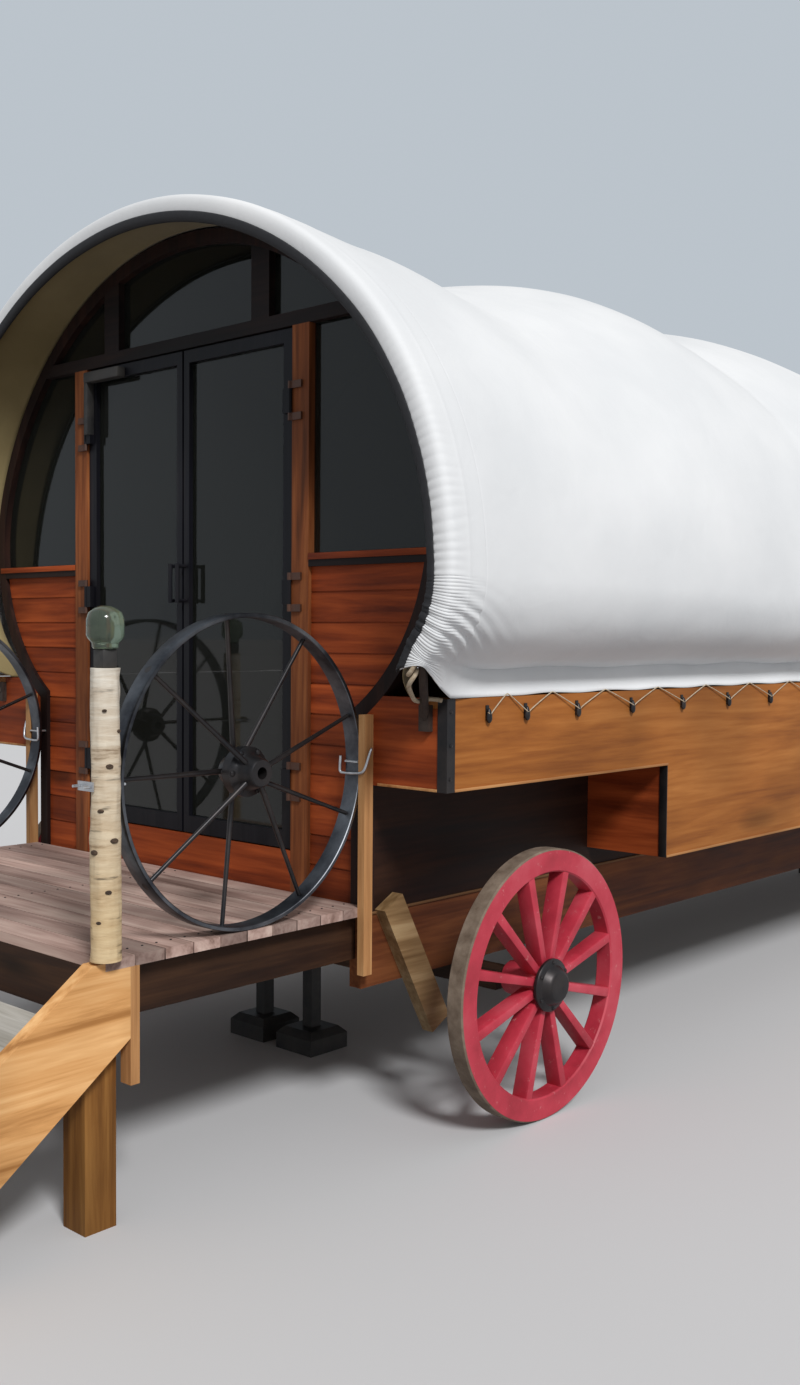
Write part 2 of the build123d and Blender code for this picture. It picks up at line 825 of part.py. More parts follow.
for along, far in (
    (iron_wheel_along - rim_inner, log_along - log_radius - clamp_end),
    (iron_wheel_along + rim_inner, -seat),
):
    yoke_half = clamp_side + clamp_radius
    yoke = [(iron_wheel_side + end * yoke_half, along, iron_centre) for end in (-1, 1)]
    clamp = rod(*yoke, clamp_radius)
    for end in (-1, 1):
        x = iron_wheel_side + end * clamp_side
        clamp += rod((x, along, iron_centre), (x, far, iron_centre), clamp_radius)
    clamps.append(clamp)
log_fall = (log_radius - log_top_radius) * (iron_centre - floor_top) / (log_top - floor_top)
log_face = log_along - log_radius + log_fall - seat
plate_half = clamp_side + clamp_radius + clamp_plate
clamps[0] += board(
    (iron_wheel_side - plate_half, iron_wheel_side + plate_half),
    (log_face - clamp_plate, log_face),
    (iron_centre - clamp_plate_height / 2, iron_centre + clamp_plate_height / 2),
)
parts["rail_clamps"] = [piece for clamp in clamps for piece in both_sides(clamp)]

# Steps
toe = stringer_toe
heel_along = stringer_back - (floor_top - stringer_heel_drop) / slope
stringer = Polyline(
    (stringer_back, floor_top - plank),
    (-deck_depth - seat, floor_top - plank),
    (-deck_depth - seat, floor_top - stringer_head_drop),
    (stringer_head, floor_top - stringer_head_drop),
    (toe, toe_height),
    (toe, 0),
    (heel_along, 0),
    (stringer_back, floor_top - stringer_heel_drop),
    close=True,
)
stringer_face = Plane.YZ.offset(stringer_inner) * make_face(stringer)
parts["step_stringers"] = both_sides(extrude(stringer_face, amount=stringer_width))
parts["step_treads"] = [
    board(
        (-stringer_inner, stringer_inner),
        (stringer_head - step_going * n - tread_depth, stringer_head - step_going * n),
        (floor_top - step_rise * (n + 1) - tread_thick, floor_top - step_rise * (n + 1)),
    )
    for n in range(tread_count)
]
parts["step_legs"] = both_sides(
    board(
        (stringer_inner - leg_size, stringer_inner),
        (leg_along - leg_size / 2, leg_along + leg_size / 2),
        (0, bearer_z[0]),
    )
)
parts["step_cleats"] = both_sides(
    board(
        (stringer_inner, deck_half),
        (stringer_back, stringer_back + cleat_width),
        (floor_top - cleat_drop, floor_top - plank),
    )
)

# Running gear
spindle_end = box_half - seat
axle = board(
    (-axle_half, axle_half),
    (wheel_along - axle_width / 2, wheel_along + axle_width / 2),
    (sill_bottom - axle_depth, sill_bottom),
)
spindle_ends = [(end * spindle_end, wheel_along, wheel_radius) for end in (-1, 1)]
axle += rod(*spindle_ends, spindle_radius, turned_sides)
parts["axles"] = both_ends(axle)
wheel = Pos(box_half - felloe_width / 2, wheel_along, wheel_radius) * make_wheel()
cap = Pos(box_half, wheel_along, wheel_radius) * make_cap()
wheel_names = ["front_right", "rear_right", "front_left", "rear_left"]
for name, wheel_piece, cap_piece in zip(wheel_names, all_corners(wheel), all_corners(cap)):
    parts["wheel_" + name] = [wheel_piece]
    parts["hub_cap_" + name] = [cap_piece]
brace_run = brace_bottom_along - brace_top_along
brace_fall = floor_top - brace_bottom
brace_angle = degrees(atan2(brace_fall, brace_run))
brace_length = sqrt(brace_run**2 + brace_fall**2)
brace = Pos(
    body_half + brace_depth / 2,
    (brace_top_along + brace_bottom_along) / 2,
    (floor_top + brace_bottom) / 2,
) * (Rot(-brace_angle, 0, 0) * Box(brace_depth, brace_length, brace_width))
parts["axle_braces"] = all_corners(brace)
foot_base = Box(jack_foot, jack_foot, jack_foot_height)
foot_base = chamfer(foot_base.faces().sort_by(Axis.Z)[-1].edges(), jack_foot_slope)
jack = Pos(jack_side, wheel_along, jack_foot_height / 2) * foot_base
jack += board(
    (jack_side - jack_post / 2, jack_side + jack_post / 2),
    (wheel_along - jack_post / 2, wheel_along + jack_post / 2),
    (jack_foot_height, sill_bottom - axle_depth),
)
parts["jack_stands"] = all_corners(jack)

os.makedirs("parts", exist_ok=True)
for name, solids in parts.items():
    placed = [Pos(0, front_wall, 0) * solid for shape in solids for solid in shape.solids()]
    export_step(Compound(children=placed), "parts/" + name + ".step")
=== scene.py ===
import bmesh
import bpy
import math
from mathutils import Matrix, Vector, noise


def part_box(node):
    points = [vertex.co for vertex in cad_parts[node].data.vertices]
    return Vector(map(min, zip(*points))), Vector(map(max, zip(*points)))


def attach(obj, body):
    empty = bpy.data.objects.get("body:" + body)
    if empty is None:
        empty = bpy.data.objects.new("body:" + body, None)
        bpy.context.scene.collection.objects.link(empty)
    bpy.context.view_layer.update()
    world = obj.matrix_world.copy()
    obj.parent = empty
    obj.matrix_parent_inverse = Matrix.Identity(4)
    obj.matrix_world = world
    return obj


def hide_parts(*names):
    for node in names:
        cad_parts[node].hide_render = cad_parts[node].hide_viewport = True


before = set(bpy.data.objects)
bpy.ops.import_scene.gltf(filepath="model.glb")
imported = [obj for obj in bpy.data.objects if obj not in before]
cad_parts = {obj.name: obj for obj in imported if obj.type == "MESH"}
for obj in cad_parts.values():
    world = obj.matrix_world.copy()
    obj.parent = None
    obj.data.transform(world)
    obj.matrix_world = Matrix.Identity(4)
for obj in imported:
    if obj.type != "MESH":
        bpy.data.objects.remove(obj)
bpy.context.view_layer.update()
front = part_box("front_arch")[0].y
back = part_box("rear_arch")[1].y
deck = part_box("floor")[1].z

# Camera: stands at eye height before the wagon's front right corner and looks across the deck,
# so that the front wall, the right side and a front wheel show together.


def put(name, data):
    """An object that shows this data, placed in the scene."""
    made = bpy.data.objects.new(name, data)
    bpy.context.scene.collection.objects.link(made)
    return made


eye = Vector((3.838, front - 3.052, deck + 0.863))
yaw, pitch, roll = 0.736508, -0.0433, -0.007878
level = Vector((math.cos(yaw), math.sin(yaw), 0))
ahead = Vector((-math.sin(yaw) * math.cos(pitch), math.cos(yaw) * math.cos(pitch),
                math.sin(pitch)))
down = ahead.cross(level)
across = level * math.cos(roll) + down * math.sin(roll)
drop = down * math.cos(roll) - level * math.sin(roll)
camera_data = bpy.data.cameras.new("camera")
camera_data.sensor_width = 36
camera_data.lens = 34.741
camera_data.clip_end = 300
camera = put("camera", camera_data)
turned_view = Matrix((across, -drop, -ahead)).transposed().to_4x4()
camera.matrix_world = Matrix.Translation(eye) @ turned_view
bpy.context.scene.camera = camera

# Floor frame and running gear: dark stained beams, sills, axles and slanting braces under the
# floor. Each is a planed softwood baulk whose grain runs along its length.
grain_across, grain_along = 13.0, 0.8
knot_across, knot_along = 5.0, 1.6
timber_shine = 0.18


def add(tree, kind, inputs=None, **settings):
    """One more node in a material, with its values set and its sockets joined."""
    node = tree.nodes.new("ShaderNode" + kind)
    for key, value in settings.items():
        setattr(node, key, value)
    for key, value in (inputs or {}).items():
        if isinstance(value, bpy.types.NodeSocket):
            tree.links.new(value, node.inputs[key])
        else:
            node.inputs[key].default_value = value
    return node


def new_finish(name, rough=0.5, metallic=0.0):
    """An empty finish: its material, node tree, shader and the object's own coordinates."""
    material = bpy.data.materials.new(name)
    material.use_nodes = True
    tree = material.node_tree
    shader = tree.nodes["Principled BSDF"]
    shader.inputs["Roughness"].default_value = rough
    shader.inputs["Metallic"].default_value = metallic
    return material, tree, shader, add(tree, "TexCoord").outputs["Object"]


def colour_ramp(tree, amount, stops):
    """A colour ramp on an amount; the stops are places and colours."""
    node = add(tree, "ValToRGB", {"Fac": amount})
    band = node.color_ramp
    while len(band.elements) < len(stops):
        band.elements.new(0.5)
    for element, (place, colour) in zip(band.elements, stops):
        element.position = place
        element.color = (*colour, 1)
    return node.outputs["Color"]


def worked_out(tree, operation, *values):
    """The result of one sum on these values, such as a product or the larger one."""
    return add(tree, "Math", dict(enumerate(values)), operation=operation).outputs[0]


def clouds(tree, place, scale, detail, rough=0.5, twist=0.0):
    """A soft random amount about one half that changes with the place."""
    return add(tree, "TexNoise", {"Vector": place, "Scale": scale, "Detail": detail,
                                  "Roughness": rough, "Distortion": twist}).outputs["Fac"]


def spread(tree, amount, since, until, low=0.0, high=1.0):
    """The amount carried over from one range to another, and kept inside it."""
    return add(tree, "MapRange", {"Value": amount, "From Min": since, "From Max": until,
                                  "To Min": low, "To Max": high}).outputs[0]


def set_relief(tree, shader, height, strength, depth):
    """Gives the face small bumps of this depth."""
    bump = add(tree, "Bump", {"Height": height, "Strength": strength, "Distance": depth})
    tree.links.new(bump.outputs[0], shader.inputs["Normal"])


def timber(name, tones, along, boards=None, rough=0.6, relief=0.25, knots=0.0, patches=0.35):
    """Stained wood: streaks along the grain, clouds of tone, knots, and a tone for each board."""
    material, tree, shader, place = new_finish(name, rough)
    shader.inputs["Specular IOR Level"].default_value = timber_shine
    if boards:
        axis, width, start = boards
        where = add(tree, "SeparateXYZ", {0: place}).outputs[axis]
        moved = worked_out(tree, "SUBTRACT", where, start)
        number = worked_out(tree, "FLOOR", worked_out(tree, "DIVIDE", moved, width))
        own = add(tree, "TexWhiteNoise", {"W": number}, noise_dimensions="1D")
        shift = add(tree, "VectorMath", {0: own.outputs["Color"], "Scale": 9.0}, operation="SCALE")
        place = add(tree, "VectorMath", {0: place, 1: shift.outputs[0]},
                    operation="ADD").outputs[0]
    stretch = [grain_across] * 3
    stretch["XYZ".index(along)] = grain_along
    grain_place = add(tree, "Mapping", {"Vector": place, "Scale": stretch}).outputs[0]
    grain = clouds(tree, grain_place, 1.0, 7.0, 0.62, 0.6)
    fine = clouds(tree, grain_place, 5.0, 3.0)
    both = worked_out(tree, "MULTIPLY_ADD", fine, 0.3, grain)
    base = colour_ramp(tree, both, [(0.46, tones[0]), (0.63, tones[1]), (0.82, tones[2])])
    cloud = clouds(tree, place, 1.7, 2.0)
    shade = spread(tree, cloud, 0.3, 0.7, 1.0 - patches, 1.0 + patches)
    if boards:
        tone = spread(tree, own.outputs["Value"], 0.0, 1.0, 0.8, 1.2)
        shade = worked_out(tree, "MULTIPLY", shade, tone)
    base = add(tree, "VectorMath", {0: base, "Scale": shade}, operation="SCALE").outputs[0]
    if knots:
        flat = [knot_across] * 3
        flat["XYZ".index(along)] = knot_along
        knot_place = add(tree, "Mapping", {"Vector": place, "Scale": flat}).outputs[0]
        cell = add(tree, "TexVoronoi", {"Vector": knot_place, "Scale": knots}).outputs["Distance"]
        spot = spread(tree, cell, 0.05, 0.13, 0.3, 1.0)
        base = add(tree, "VectorMath", {0: base, "Scale": spot}, operation="SCALE").outputs[0]
    tree.links.new(base, shader.inputs["Base Color"])
    sheen = spread(tree, grain, 0.0, 1.0, rough - 0.12, rough + 0.15)
    tree.links.new(sheen, shader.inputs["Roughness"])
    set_relief(tree, shader, both, relief, 0.002)
    return material


def dress(material, *names):
    """CAD nodes that are shown as they are get this finish."""
    for name in names:
        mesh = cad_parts[name].data
        mesh.materials.clear()
        mesh.materials.append(material)


dark_stain = ((0.022, 0.012, 0.008), (0.05, 0.026, 0.016), (0.09, 0.05, 0.03))
sill_stain = ((0.05, 0.014, 0.006), (0.11, 0.033, 0.012), (0.19, 0.065, 0.022))
brace_wood = ((0.15, 0.085, 0.035), (0.27, 0.17, 0.08), (0.42, 0.3, 0.16))
floor_wood = ((0.1, 0.06, 0.03), (0.2, 0.12, 0.06), (0.3, 0.19, 0.1))
dress(timber("dark_timber_across", dark_stain, "X"), "floor_beams", "axles")
dress(timber("sill_timber", sill_stain, "Y"), "sills")
dress(timber("brace_timber", brace_wood, "Y", knots=0.7), "axle_braces")
dress(timber("floor_timber", floor_wood, "Y"), "floor")

# Jack stands: black moulded feet with a square post up to each axle. Their plastic is blotched
# with pale dust.


def plain_coat(name, colour, other, rough=0.5, metallic=0.0, scale=9.0, relief=0.15):
    """Paint, iron or plastic with blotches of a second colour and a slightly uneven face."""
    material, tree, shader, place = new_finish(name, rough, metallic)
    cloud = clouds(tree, place, scale, 8.0, 0.65)
    base = colour_ramp(tree, cloud, [(0.35, colour), (0.7, other)])
    tree.links.new(base, shader.inputs["Base Color"])
    dull = spread(tree, cloud, 0.0, 1.0, rough - 0.1, rough + 0.2)
    tree.links.new(dull, shader.inputs["Roughness"])
    set_relief(tree, shader, clouds(tree, place, scale * 12, 3.0), relief, 0.001)
    return material


black_plastic = plain_coat("black_plastic", (0.012, 0.012, 0.013), (0.05, 0.045, 0.04), 0.55)
dress(black_plastic, "jack_stands")

# Red wheels: a wide felloe, twelve deep straight spokes and a nave, painted crimson, with a bare
# weathered tread. As in the photograph, they are parked with a spoke half a pitch off upright.
wheel_radius = 0.451
felloe_inner = 0.374
felloe_half = 0.0325
felloe_round = 0.005
spoke_count = 12
spoke_deep = 0.06
spoke_thin = 0.03
spoke_start = 0.06
cap_bolts = 6


def move(form, by):
    """Moves the whole shape."""
    bmesh.ops.translate(form, verts=form.verts[:], vec=by)


def rotate(form, matrix):
    """Turns the whole shape about the origin."""
    bmesh.ops.rotate(form, verts=form.verts[:], cent=(0, 0, 0), matrix=matrix)


def turned(form, outline, steps, centre=(0, 0, 0), axis=(1, 0, 0)):
    """Spins an outline of (along, radius) points about the X axis. Points at radius 0 close it."""
    corners = [form.verts.new((along, 0, radius)) for along, radius in outline]
    closed = all(radius > 0 for _, radius in outline)
    pairs = zip(corners, corners[1:] + corners[:1] if closed else corners[1:])
    edges = [form.edges.new(pair) for pair in pairs]
    bmesh.ops.spin(form, geom=corners + edges, cent=(0, 0, 0), axis=(1, 0, 0),
                   angle=2 * math.pi, steps=steps, use_merge=True)
    bmesh.ops.remove_doubles(form, verts=form.verts[:], dist=1e-6)
    bmesh.ops.recalc_face_normals(form, faces=form.faces[:])
    rotate(form, Vector((1, 0, 0)).rotation_difference(Vector(axis)).to_matrix())
    move(form, centre)


def block(form, low, high, round_by):
    """Adds a squared block between two corners, its edges rounded."""
    made = bmesh.ops.create_cube(form, size=1)["verts"]
    size = [b - a for a, b in zip(low, high)]
    bmesh.ops.scale(form, vec=size, verts=made)
    bmesh.ops.translate(form, vec=[(a + b) / 2 for a, b in zip(low, high)], verts=made)
    edges = list(dict.fromkeys(edge for vert in made for edge in vert.link_edges))
    bmesh.ops.bevel(form, geom=edges, offset=round_by, segments=2, profile=0.5,
                    affect="EDGES", material=-1)


def merge_into(form, other):
    """Adds a second shape to the first and empties it."""
    spare = bpy.data.meshes.new("spare")
    other.to_mesh(spare)
    other.free()
    form.from_mesh(spare)
    bpy.data.meshes.remove(spare)


def mirror_across(form):
    """Turns a shape into its mirror image across the wagon."""
    bmesh.ops.scale(form, vec=(-1, 1, 1), verts=form.verts[:])
    bmesh.ops.reverse_faces(form, faces=form.faces[:])


def finish_piece(form, name, body, materials, stands_for=None, sharp=38):
    """Makes the shape a piece that moves with a body; edges over the sharp angle stay crisp."""
    for face in form.faces:
        face.smooth = True
    for edge in form.edges:
        edge.smooth = len(edge.link_faces) != 2 or edge.calc_face_angle(0) < math.radians(sharp)
    mesh = bpy.data.meshes.new(name)
    form.to_mesh(mesh)
    form.free()
    for material in materials:
        mesh.materials.append(material)
    piece = put(name, mesh)
    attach(piece, body)
    if stands_for:
        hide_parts(stands_for)
    return piece


def red_paint():
    """Crimson paint, rubbed pale in small scattered patches and dulled by weather in soft clouds.
    """
    material, tree, shader, place = new_finish("crimson_paint", 0.5)
    cloud = clouds(tree, place, 5.0, 6.0, 0.6)
    base = colour_ramp(tree, cloud, [(0.3, (0.36, 0.018, 0.035)), (0.5, (0.52, 0.035, 0.062)),
                                     (0.72, (0.6, 0.085, 0.115))])
    scuff = clouds(tree, place, 38.0, 5.0, 0.7)
    worn = spread(tree, scuff, 0.62, 0.72)
    mixed = add(tree, "Mix", {0: worn, 6: base, 7: (0.62, 0.24, 0.24, 1)}, data_type="RGBA")
    tree.links.new(mixed.outputs[2], shader.inputs["Base Color"])
    set_relief(tree, shader, scuff, 0.25, 0.0015)
    return material


crimson_paint = red_paint()
tread_timber = plain_coat("weathered_tread", (0.11, 0.075, 0.05), (0.26, 0.2, 0.15), 0.8,
                          scale=16, relief=0.5)
black_iron = plain_coat("black_iron", (0.02, 0.021, 0.024), (0.055, 0.045, 0.042), 0.34, 0.7,
                        scale=7)
sides = (("right", 1), ("left", -1))
for end in ("front", "rear"):
    for side, sign in sides:
        corner = end + "_" + side
        low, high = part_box("wheel_" + corner)
        outer = high.x if sign > 0 else low.x
        hub = Vector((outer - sign * felloe_half, (low.y + high.y) / 2, (low.z + high.z) / 2))
        felloe = bmesh.new()
        flat_half, flat_inner = felloe_half - felloe_round, felloe_inner + felloe_round
        flat_outer = wheel_radius - felloe_round
        turned(felloe, [(-felloe_half, flat_inner), (-felloe_half, flat_outer),
                        (-flat_half, wheel_radius), (flat_half, wheel_radius),
                        (felloe_half, flat_outer), (felloe_half, flat_inner),
                        (flat_half, felloe_inner), (-flat_half, felloe_inner)], 96)
        for face in felloe.faces:
            middle = face.calc_center_median()
            face.material_index = int(math.hypot(middle.y, middle.z) > wheel_radius - 0.003)
        for turn in range(spoke_count):
            spoke = bmesh.new()
            block(spoke, (-spoke_deep / 2, -spoke_thin / 2, spoke_start),
                  (spoke_deep / 2, spoke_thin / 2, felloe_inner + 0.004), 0.004)
            for vert in spoke.verts:
                vert.co.y *= 0.86 + 0.3 * (vert.co.z - spoke_start) / felloe_inner
            rotate(spoke, Matrix.Rotation(2 * math.pi * (turn + 0.5) / spoke_count, 3, "X"))
            merge_into(felloe, spoke)
        nave = bmesh.new()
        turned(nave, [(-0.1275, 0.024), (-0.1275, 0.053), (-0.124, 0.056), (-0.02, 0.07),
                      (0.028, 0.07), (0.0325, 0.066), (0.0325, 0.024)], 48)
        merge_into(felloe, nave)
        if sign < 0:
            mirror_across(felloe)
        move(felloe, hub)
        finish_piece(felloe, "red_wheel_" + corner, corner + "_wheel",
                     [crimson_paint, tread_timber], "wheel_" + corner)
        # Hub cap: a dished black iron cap over the nave, with a ring of coach bolts.
        cap = bmesh.new()
        turned(cap, [(0, 0), (0, 0.084), (0.004, 0.088), (0.013, 0.088), (0.017, 0.084),
                     (0.022, 0.068), (0.04, 0.056), (0.046, 0.05), (0.048, 0.044), (0.044, 0.02),
                     (0.046, 0)], 48)
        for turn in range(cap_bolts):
            bolt = bmesh.new()
            turned(bolt, [(0, 0), (0, 0.008), (0.005, 0.007), (0.008, 0.003), (0.008, 0)], 10)
            angle = 2 * math.pi * (turn + 0.5) / cap_bolts
            move(bolt, (0.016, 0.076 * math.cos(angle), 0.076 * math.sin(angle)))
            merge_into(cap, bolt)
        if sign < 0:
            mirror_across(cap)
        move(cap, (outer, hub.y, hub.z))
        finish_piece(cap, "iron_cap_" + corner, corner + "_wheel", [black_iron],
                     "hub_cap_" + corner)

# Side boxes: orange-brown boards along the wagon over hat-shaped box floors, red-brown end
# boards, a capping rail and a black angle iron screwed over each corner.
side_stain = ((0.24, 0.075, 0.016), (0.347, 0.12, 0.026), (0.449, 0.175, 0.045))
red_stain = ((0.105, 0.016, 0.004), (0.231, 0.04, 0.009), (0.378, 0.076, 0.018))
# Painted shade: the body's sides under the boxes are stained near black for the deep shadow that
# falls there.
shaded_body_stain = ((0.008, 0.003, 0.002), (0.018, 0.007, 0.004), (0.035, 0.014, 0.007))
side_timber = timber("side_timber", side_stain, "Y", knots=0.35, patches=0.22)
dress(side_timber, "upper_side_boards", "lower_side_boards", "cap_rails")
dress(timber("box_timber", red_stain, "X"), "box_floors")
dress(timber("shaded_body_timber", shaded_body_stain, "Y"), "body_sides")
dress(timber("box_end_timber", red_stain, "X"), "box_ends")
dress(black_iron, "corner_irons")

# Board lips: the pale sawn lower edges of the side boards and of the end boards stand a little
# proud of their faces, and draw a light line along each box.
lip_stain = ((0.28, 0.11, 0.035), (0.42, 0.19, 0.07), (0.55, 0.29, 0.12))
lip_out, lip_tall, lip_round = 0.004, 0.009, 0.0015
iron_cover = 0.036
upper_low, upper_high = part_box("upper_side_boards")
lower_low, lower_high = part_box("lower_side_boards")


def slab(form, sign, xs, ys, zs, round_by):
    """A block on one side of the wagon: x counts outwards, and each pair may run either way."""
    low_x, high_x = sorted((sign * xs[0], sign * xs[1]))
    block(form, (low_x, min(ys), zs[0]), (high_x, max(ys), zs[1]), round_by)


lips = bmesh.new()
for _, sign in sides:
    for bottom, start, stop in ((upper_low.z, upper_low.y + iron_cover, lower_low.y),
                                (upper_low.z, lower_high.y, upper_high.y - iron_cover),
                                (lower_low.z, lower_low.y, lower_high.y)):
        slab(lips, sign, (upper_high.x, upper_high.x + lip_out), (start, stop),
             (bottom, bottom + lip_tall), lip_round)
    for along, inward in ((upper_low.y, 1), (upper_high.y, -1)):
        slab(lips, sign, (0.98, 1.226), (along, along - inward * lip_out),
             (upper_low.z, upper_low.z + lip_tall), lip_round)
finish_piece(lips, "board_lips", "wagon", [timber("lip_timber", lip_stain, "Y")])

# Edge irons: a thin black strip covers the end grain of each lower side board, under the wide
# upper one.
edge_irons = bmesh.new()
for _, sign in sides:
    for along, inward in ((lower_low.y, 1), (lower_high.y, -1)):
        slab(edge_irons, sign, (lower_high.x - 0.032, lower_high.x + 0.001),
             (along - inward * 0.003, along + inward * 0.001),
             (lower_low.z, upper_low.z - 0.002), 0.001)
finish_piece(edge_irons, "lower_edge_irons", "wagon", [black_iron])

# Sill lips: the planed upper arris of each sill, which shows as a paler line below the boxes.
# It runs the whole length of the body.
sill_lip_stain = ((0.08, 0.035, 0.014), (0.15, 0.075, 0.032), (0.24, 0.13, 0.06))
sill_low, sill_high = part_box("sills")
sill_lips = bmesh.new()
for _, sign in sides:
    slab(sill_lips, sign, (sill_high.x - 0.004, sill_high.x + 0.006),
         (sill_low.y + 0.01, sill_high.y - 0.01), (sill_high.z - 0.006, sill_high.z + 0.002),
         0.0015)
finish_piece(sill_lips, "sill_lips", "wagon", [timber("sill_lip_timber", sill_lip_stain, "Y")])

# Corner bolts: three domed black bolts hold each corner iron to the side boards. They are drawn
# up tight against its outer face.


def screw_heads(name, places, radius, axis):
    """Small domed black screw or bolt heads at places on a face."""
    heads = bmesh.new()
    for place in places:
        head = bmesh.new()
        turned(head, [(-0.001, 0), (-0.001, radius), (radius * 0.25, radius * 0.9),
                      (radius * 0.5, radius * 0.5), (radius * 0.55, 0)], 10, place, axis)
        merge_into(heads, head)
    finish_piece(heads, name, "wagon", [black_iron])


iron_low, iron_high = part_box("corner_irons")
bolt_heights = (iron_low.z + 0.04, (iron_low.z + iron_high.z) / 2, iron_high.z - 0.04)
for side, sign in sides:
    places = [(sign * iron_high.x, along + inward * 0.018, height)
              for along, inward in ((iron_low.y, 1), (iron_high.y, -1))
              for height in bolt_heights]
    screw_heads("corner_bolts_" + side, places, 0.007, (sign, 0, 0))

# End walls: a near-black arched frame with red-brown posts, a dark header, ledges and studs, and
# horizontal boards of 100 mm below.
board_pitch = 0.1
arch_stain = ((0.006, 0.003, 0.003), (0.014, 0.006, 0.005), (0.03, 0.012, 0.008))
post_stain = ((0.084, 0.026, 0.01), (0.196, 0.058, 0.019), (0.35, 0.124, 0.041))
frame_stain = ((0.004, 0.003, 0.003), (0.009, 0.005, 0.005), (0.018, 0.01, 0.008))
dress(timber("arch_timber", arch_stain, "Z", relief=0.2), "front_arch", "rear_arch")
dress(timber("threshold_timber", red_stain, "X"), "front_threshold")
dress(timber("post_timber", post_stain, "Z"), "front_posts")
dress(timber("frame_timber", frame_stain, "X"), "front_header", "front_rails", "rear_window")
clad_timber = timber("clad_timber", red_stain, "X", boards=("Z", board_pitch, deck), knots=0.45)
dress(clad_timber, "front_cladding", "rear_cladding")

# Ledge strips: a red-brown strip lies along the top of each dark ledge, right under the fixed
# panes beside the doors.
pane_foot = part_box("front_panes")[0].z
strips = bmesh.new()
for _, sign in sides:
    slab(strips, sign, (0.662, 1.198), (front - 0.005, front + 0.001),
         (pane_foot - 0.022, pane_foot - 0.001), 0.0015)
finish_piece(strips, "ledge_strips", "wagon", [timber("strip_timber", red_stain, "X")])

# Panes: the fixed ones in the end walls and those in the doors are thin and smeared, with a
# near-black, mostly opaque tint that is painted shade for the dim cabin behind them. They mirror
# what stands on the deck, and little shows through them.


def pane_glass():
    """A thin pane, near black and mostly opaque as painted shade of the cabin, with faint smears.
    """
    material, tree, shader, place = new_finish("shaded_window_glass", 0.02)
    shader.inputs["Base Color"].default_value = (0.012, 0.013, 0.011, 1)
    shader.inputs["Alpha"].default_value = 0.8
    shader.inputs["IOR"].default_value = 1.45
    dull = spread(tree, clouds(tree, place, 3.0, 3.0), 0.45, 0.8, 0.015, 0.06)
    tree.links.new(dull, shader.inputs["Roughness"])
    return material


dress(pane_glass(), "front_panes", "rear_pane", "door_glass_left", "door_glass_right")

# Doors: two dark glazed leaves with slim stiles, bow handles and brown knuckle hinges. The left
# leaf carries a small black closer on its top rail.
door_stain = ((0.003, 0.003, 0.005), (0.006, 0.006, 0.009), (0.013, 0.012, 0.014))
dress(timber("door_timber", door_stain, "Z", rough=0.45), "door_left", "door_right")
dress(plain_coat("hinge_paint", (0.045, 0.016, 0.008), (0.09, 0.032, 0.014), 0.5), "hinge_plates")
edge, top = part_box("door_left")[0].x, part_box("door_left")[1].z
closer = bmesh.new()
block(closer, (edge + 0.02, front - 0.03, top - 0.052),
      (edge + 0.24, front + 0.009, top - 0.012), 0.006)
block(closer, (edge + 0.018, front - 0.026, top - 0.25),
      (edge + 0.04, front + 0.009, top - 0.04), 0.004)
finish_piece(closer, "door_closer", "left_door", [black_plastic])

# Bows: galvanised steel tubes that carry the cover and stand on the capping rails. The one at
# each rim is weathered dark, and has a knuckle and a stay at both feet.
galvanised = plain_coat("galvanised_steel", (0.42, 0.43, 0.45), (0.62, 0.63, 0.65), 0.38, 0.85,
                        scale=30)
weathered_zinc = plain_coat("weathered_zinc", (0.03, 0.018, 0.014), (0.07, 0.05, 0.04), 0.65, 0.4,
                            scale=30)
dress(galvanised, "bows")
dress(weathered_zinc, "rim_bows")

# Cover: white cotton canvas pulled over the bows. It sags between them and is tucked in above
# the side boxes, where its skirt is laced down.
length = back - front
spring = deck + 1.03
crown_turn = math.radians(45)
crown_share, shoulder_share, tuck_share = 0.3, 0.62, 0.92
half_girth = 3.3
box_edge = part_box("cap_rails")[1]
rim_start = -0.236
band_reach = 0.145
pleat_pitch = 0.034
fold_rate = 44
scallop_pitch = 0.35
canvas_thick = 0.0015
# The cover is pulled down in a sharp valley at this place, between two rounded humps.
tight_band = 2.25
# Columns: place along from the wall's face, half width, top, half width and height of the crease,
# half width at the foot.
cover_rows = [
    (rim_start, 1.467, deck + 2.34, 1.372, deck + 0.79, 1.29),
    (0.25, 1.455, deck + 2.312, 1.215, deck + 0.757, 1.262),
    (0.75, 1.455, deck + 2.245, 1.215, deck + 0.757, 1.262),
    (1.7, 1.455, deck + 2.395, 1.215, deck + 0.757, 1.262),
    (tight_band, 1.455, deck + 2.308, 1.215, deck + 0.757, 1.262),
    (3.07, 1.455, deck + 2.402, 1.215, deck + 0.757, 1.262),
]


def cover_row(along):
    """The cover's measures at a place along the wagon; the rear half mirrors the front."""
    along = min(along, length - along)
    for before, after in zip(cover_rows, cover_rows[1:]):
        if along <= after[0]:
            break
    part = max(0.0, min(1.0, (along - before[0]) / (after[0] - before[0])))
    if before[0] == tight_band:
        part = math.sin(part * math.pi / 2)
    elif after[0] == tight_band:
        part = 1 - math.cos(part * math.pi / 2)
    else:
        part = part * part * (3 - 2 * part)
    return [a + (b - a) * part for a, b in zip(before[1:], after[1:])]


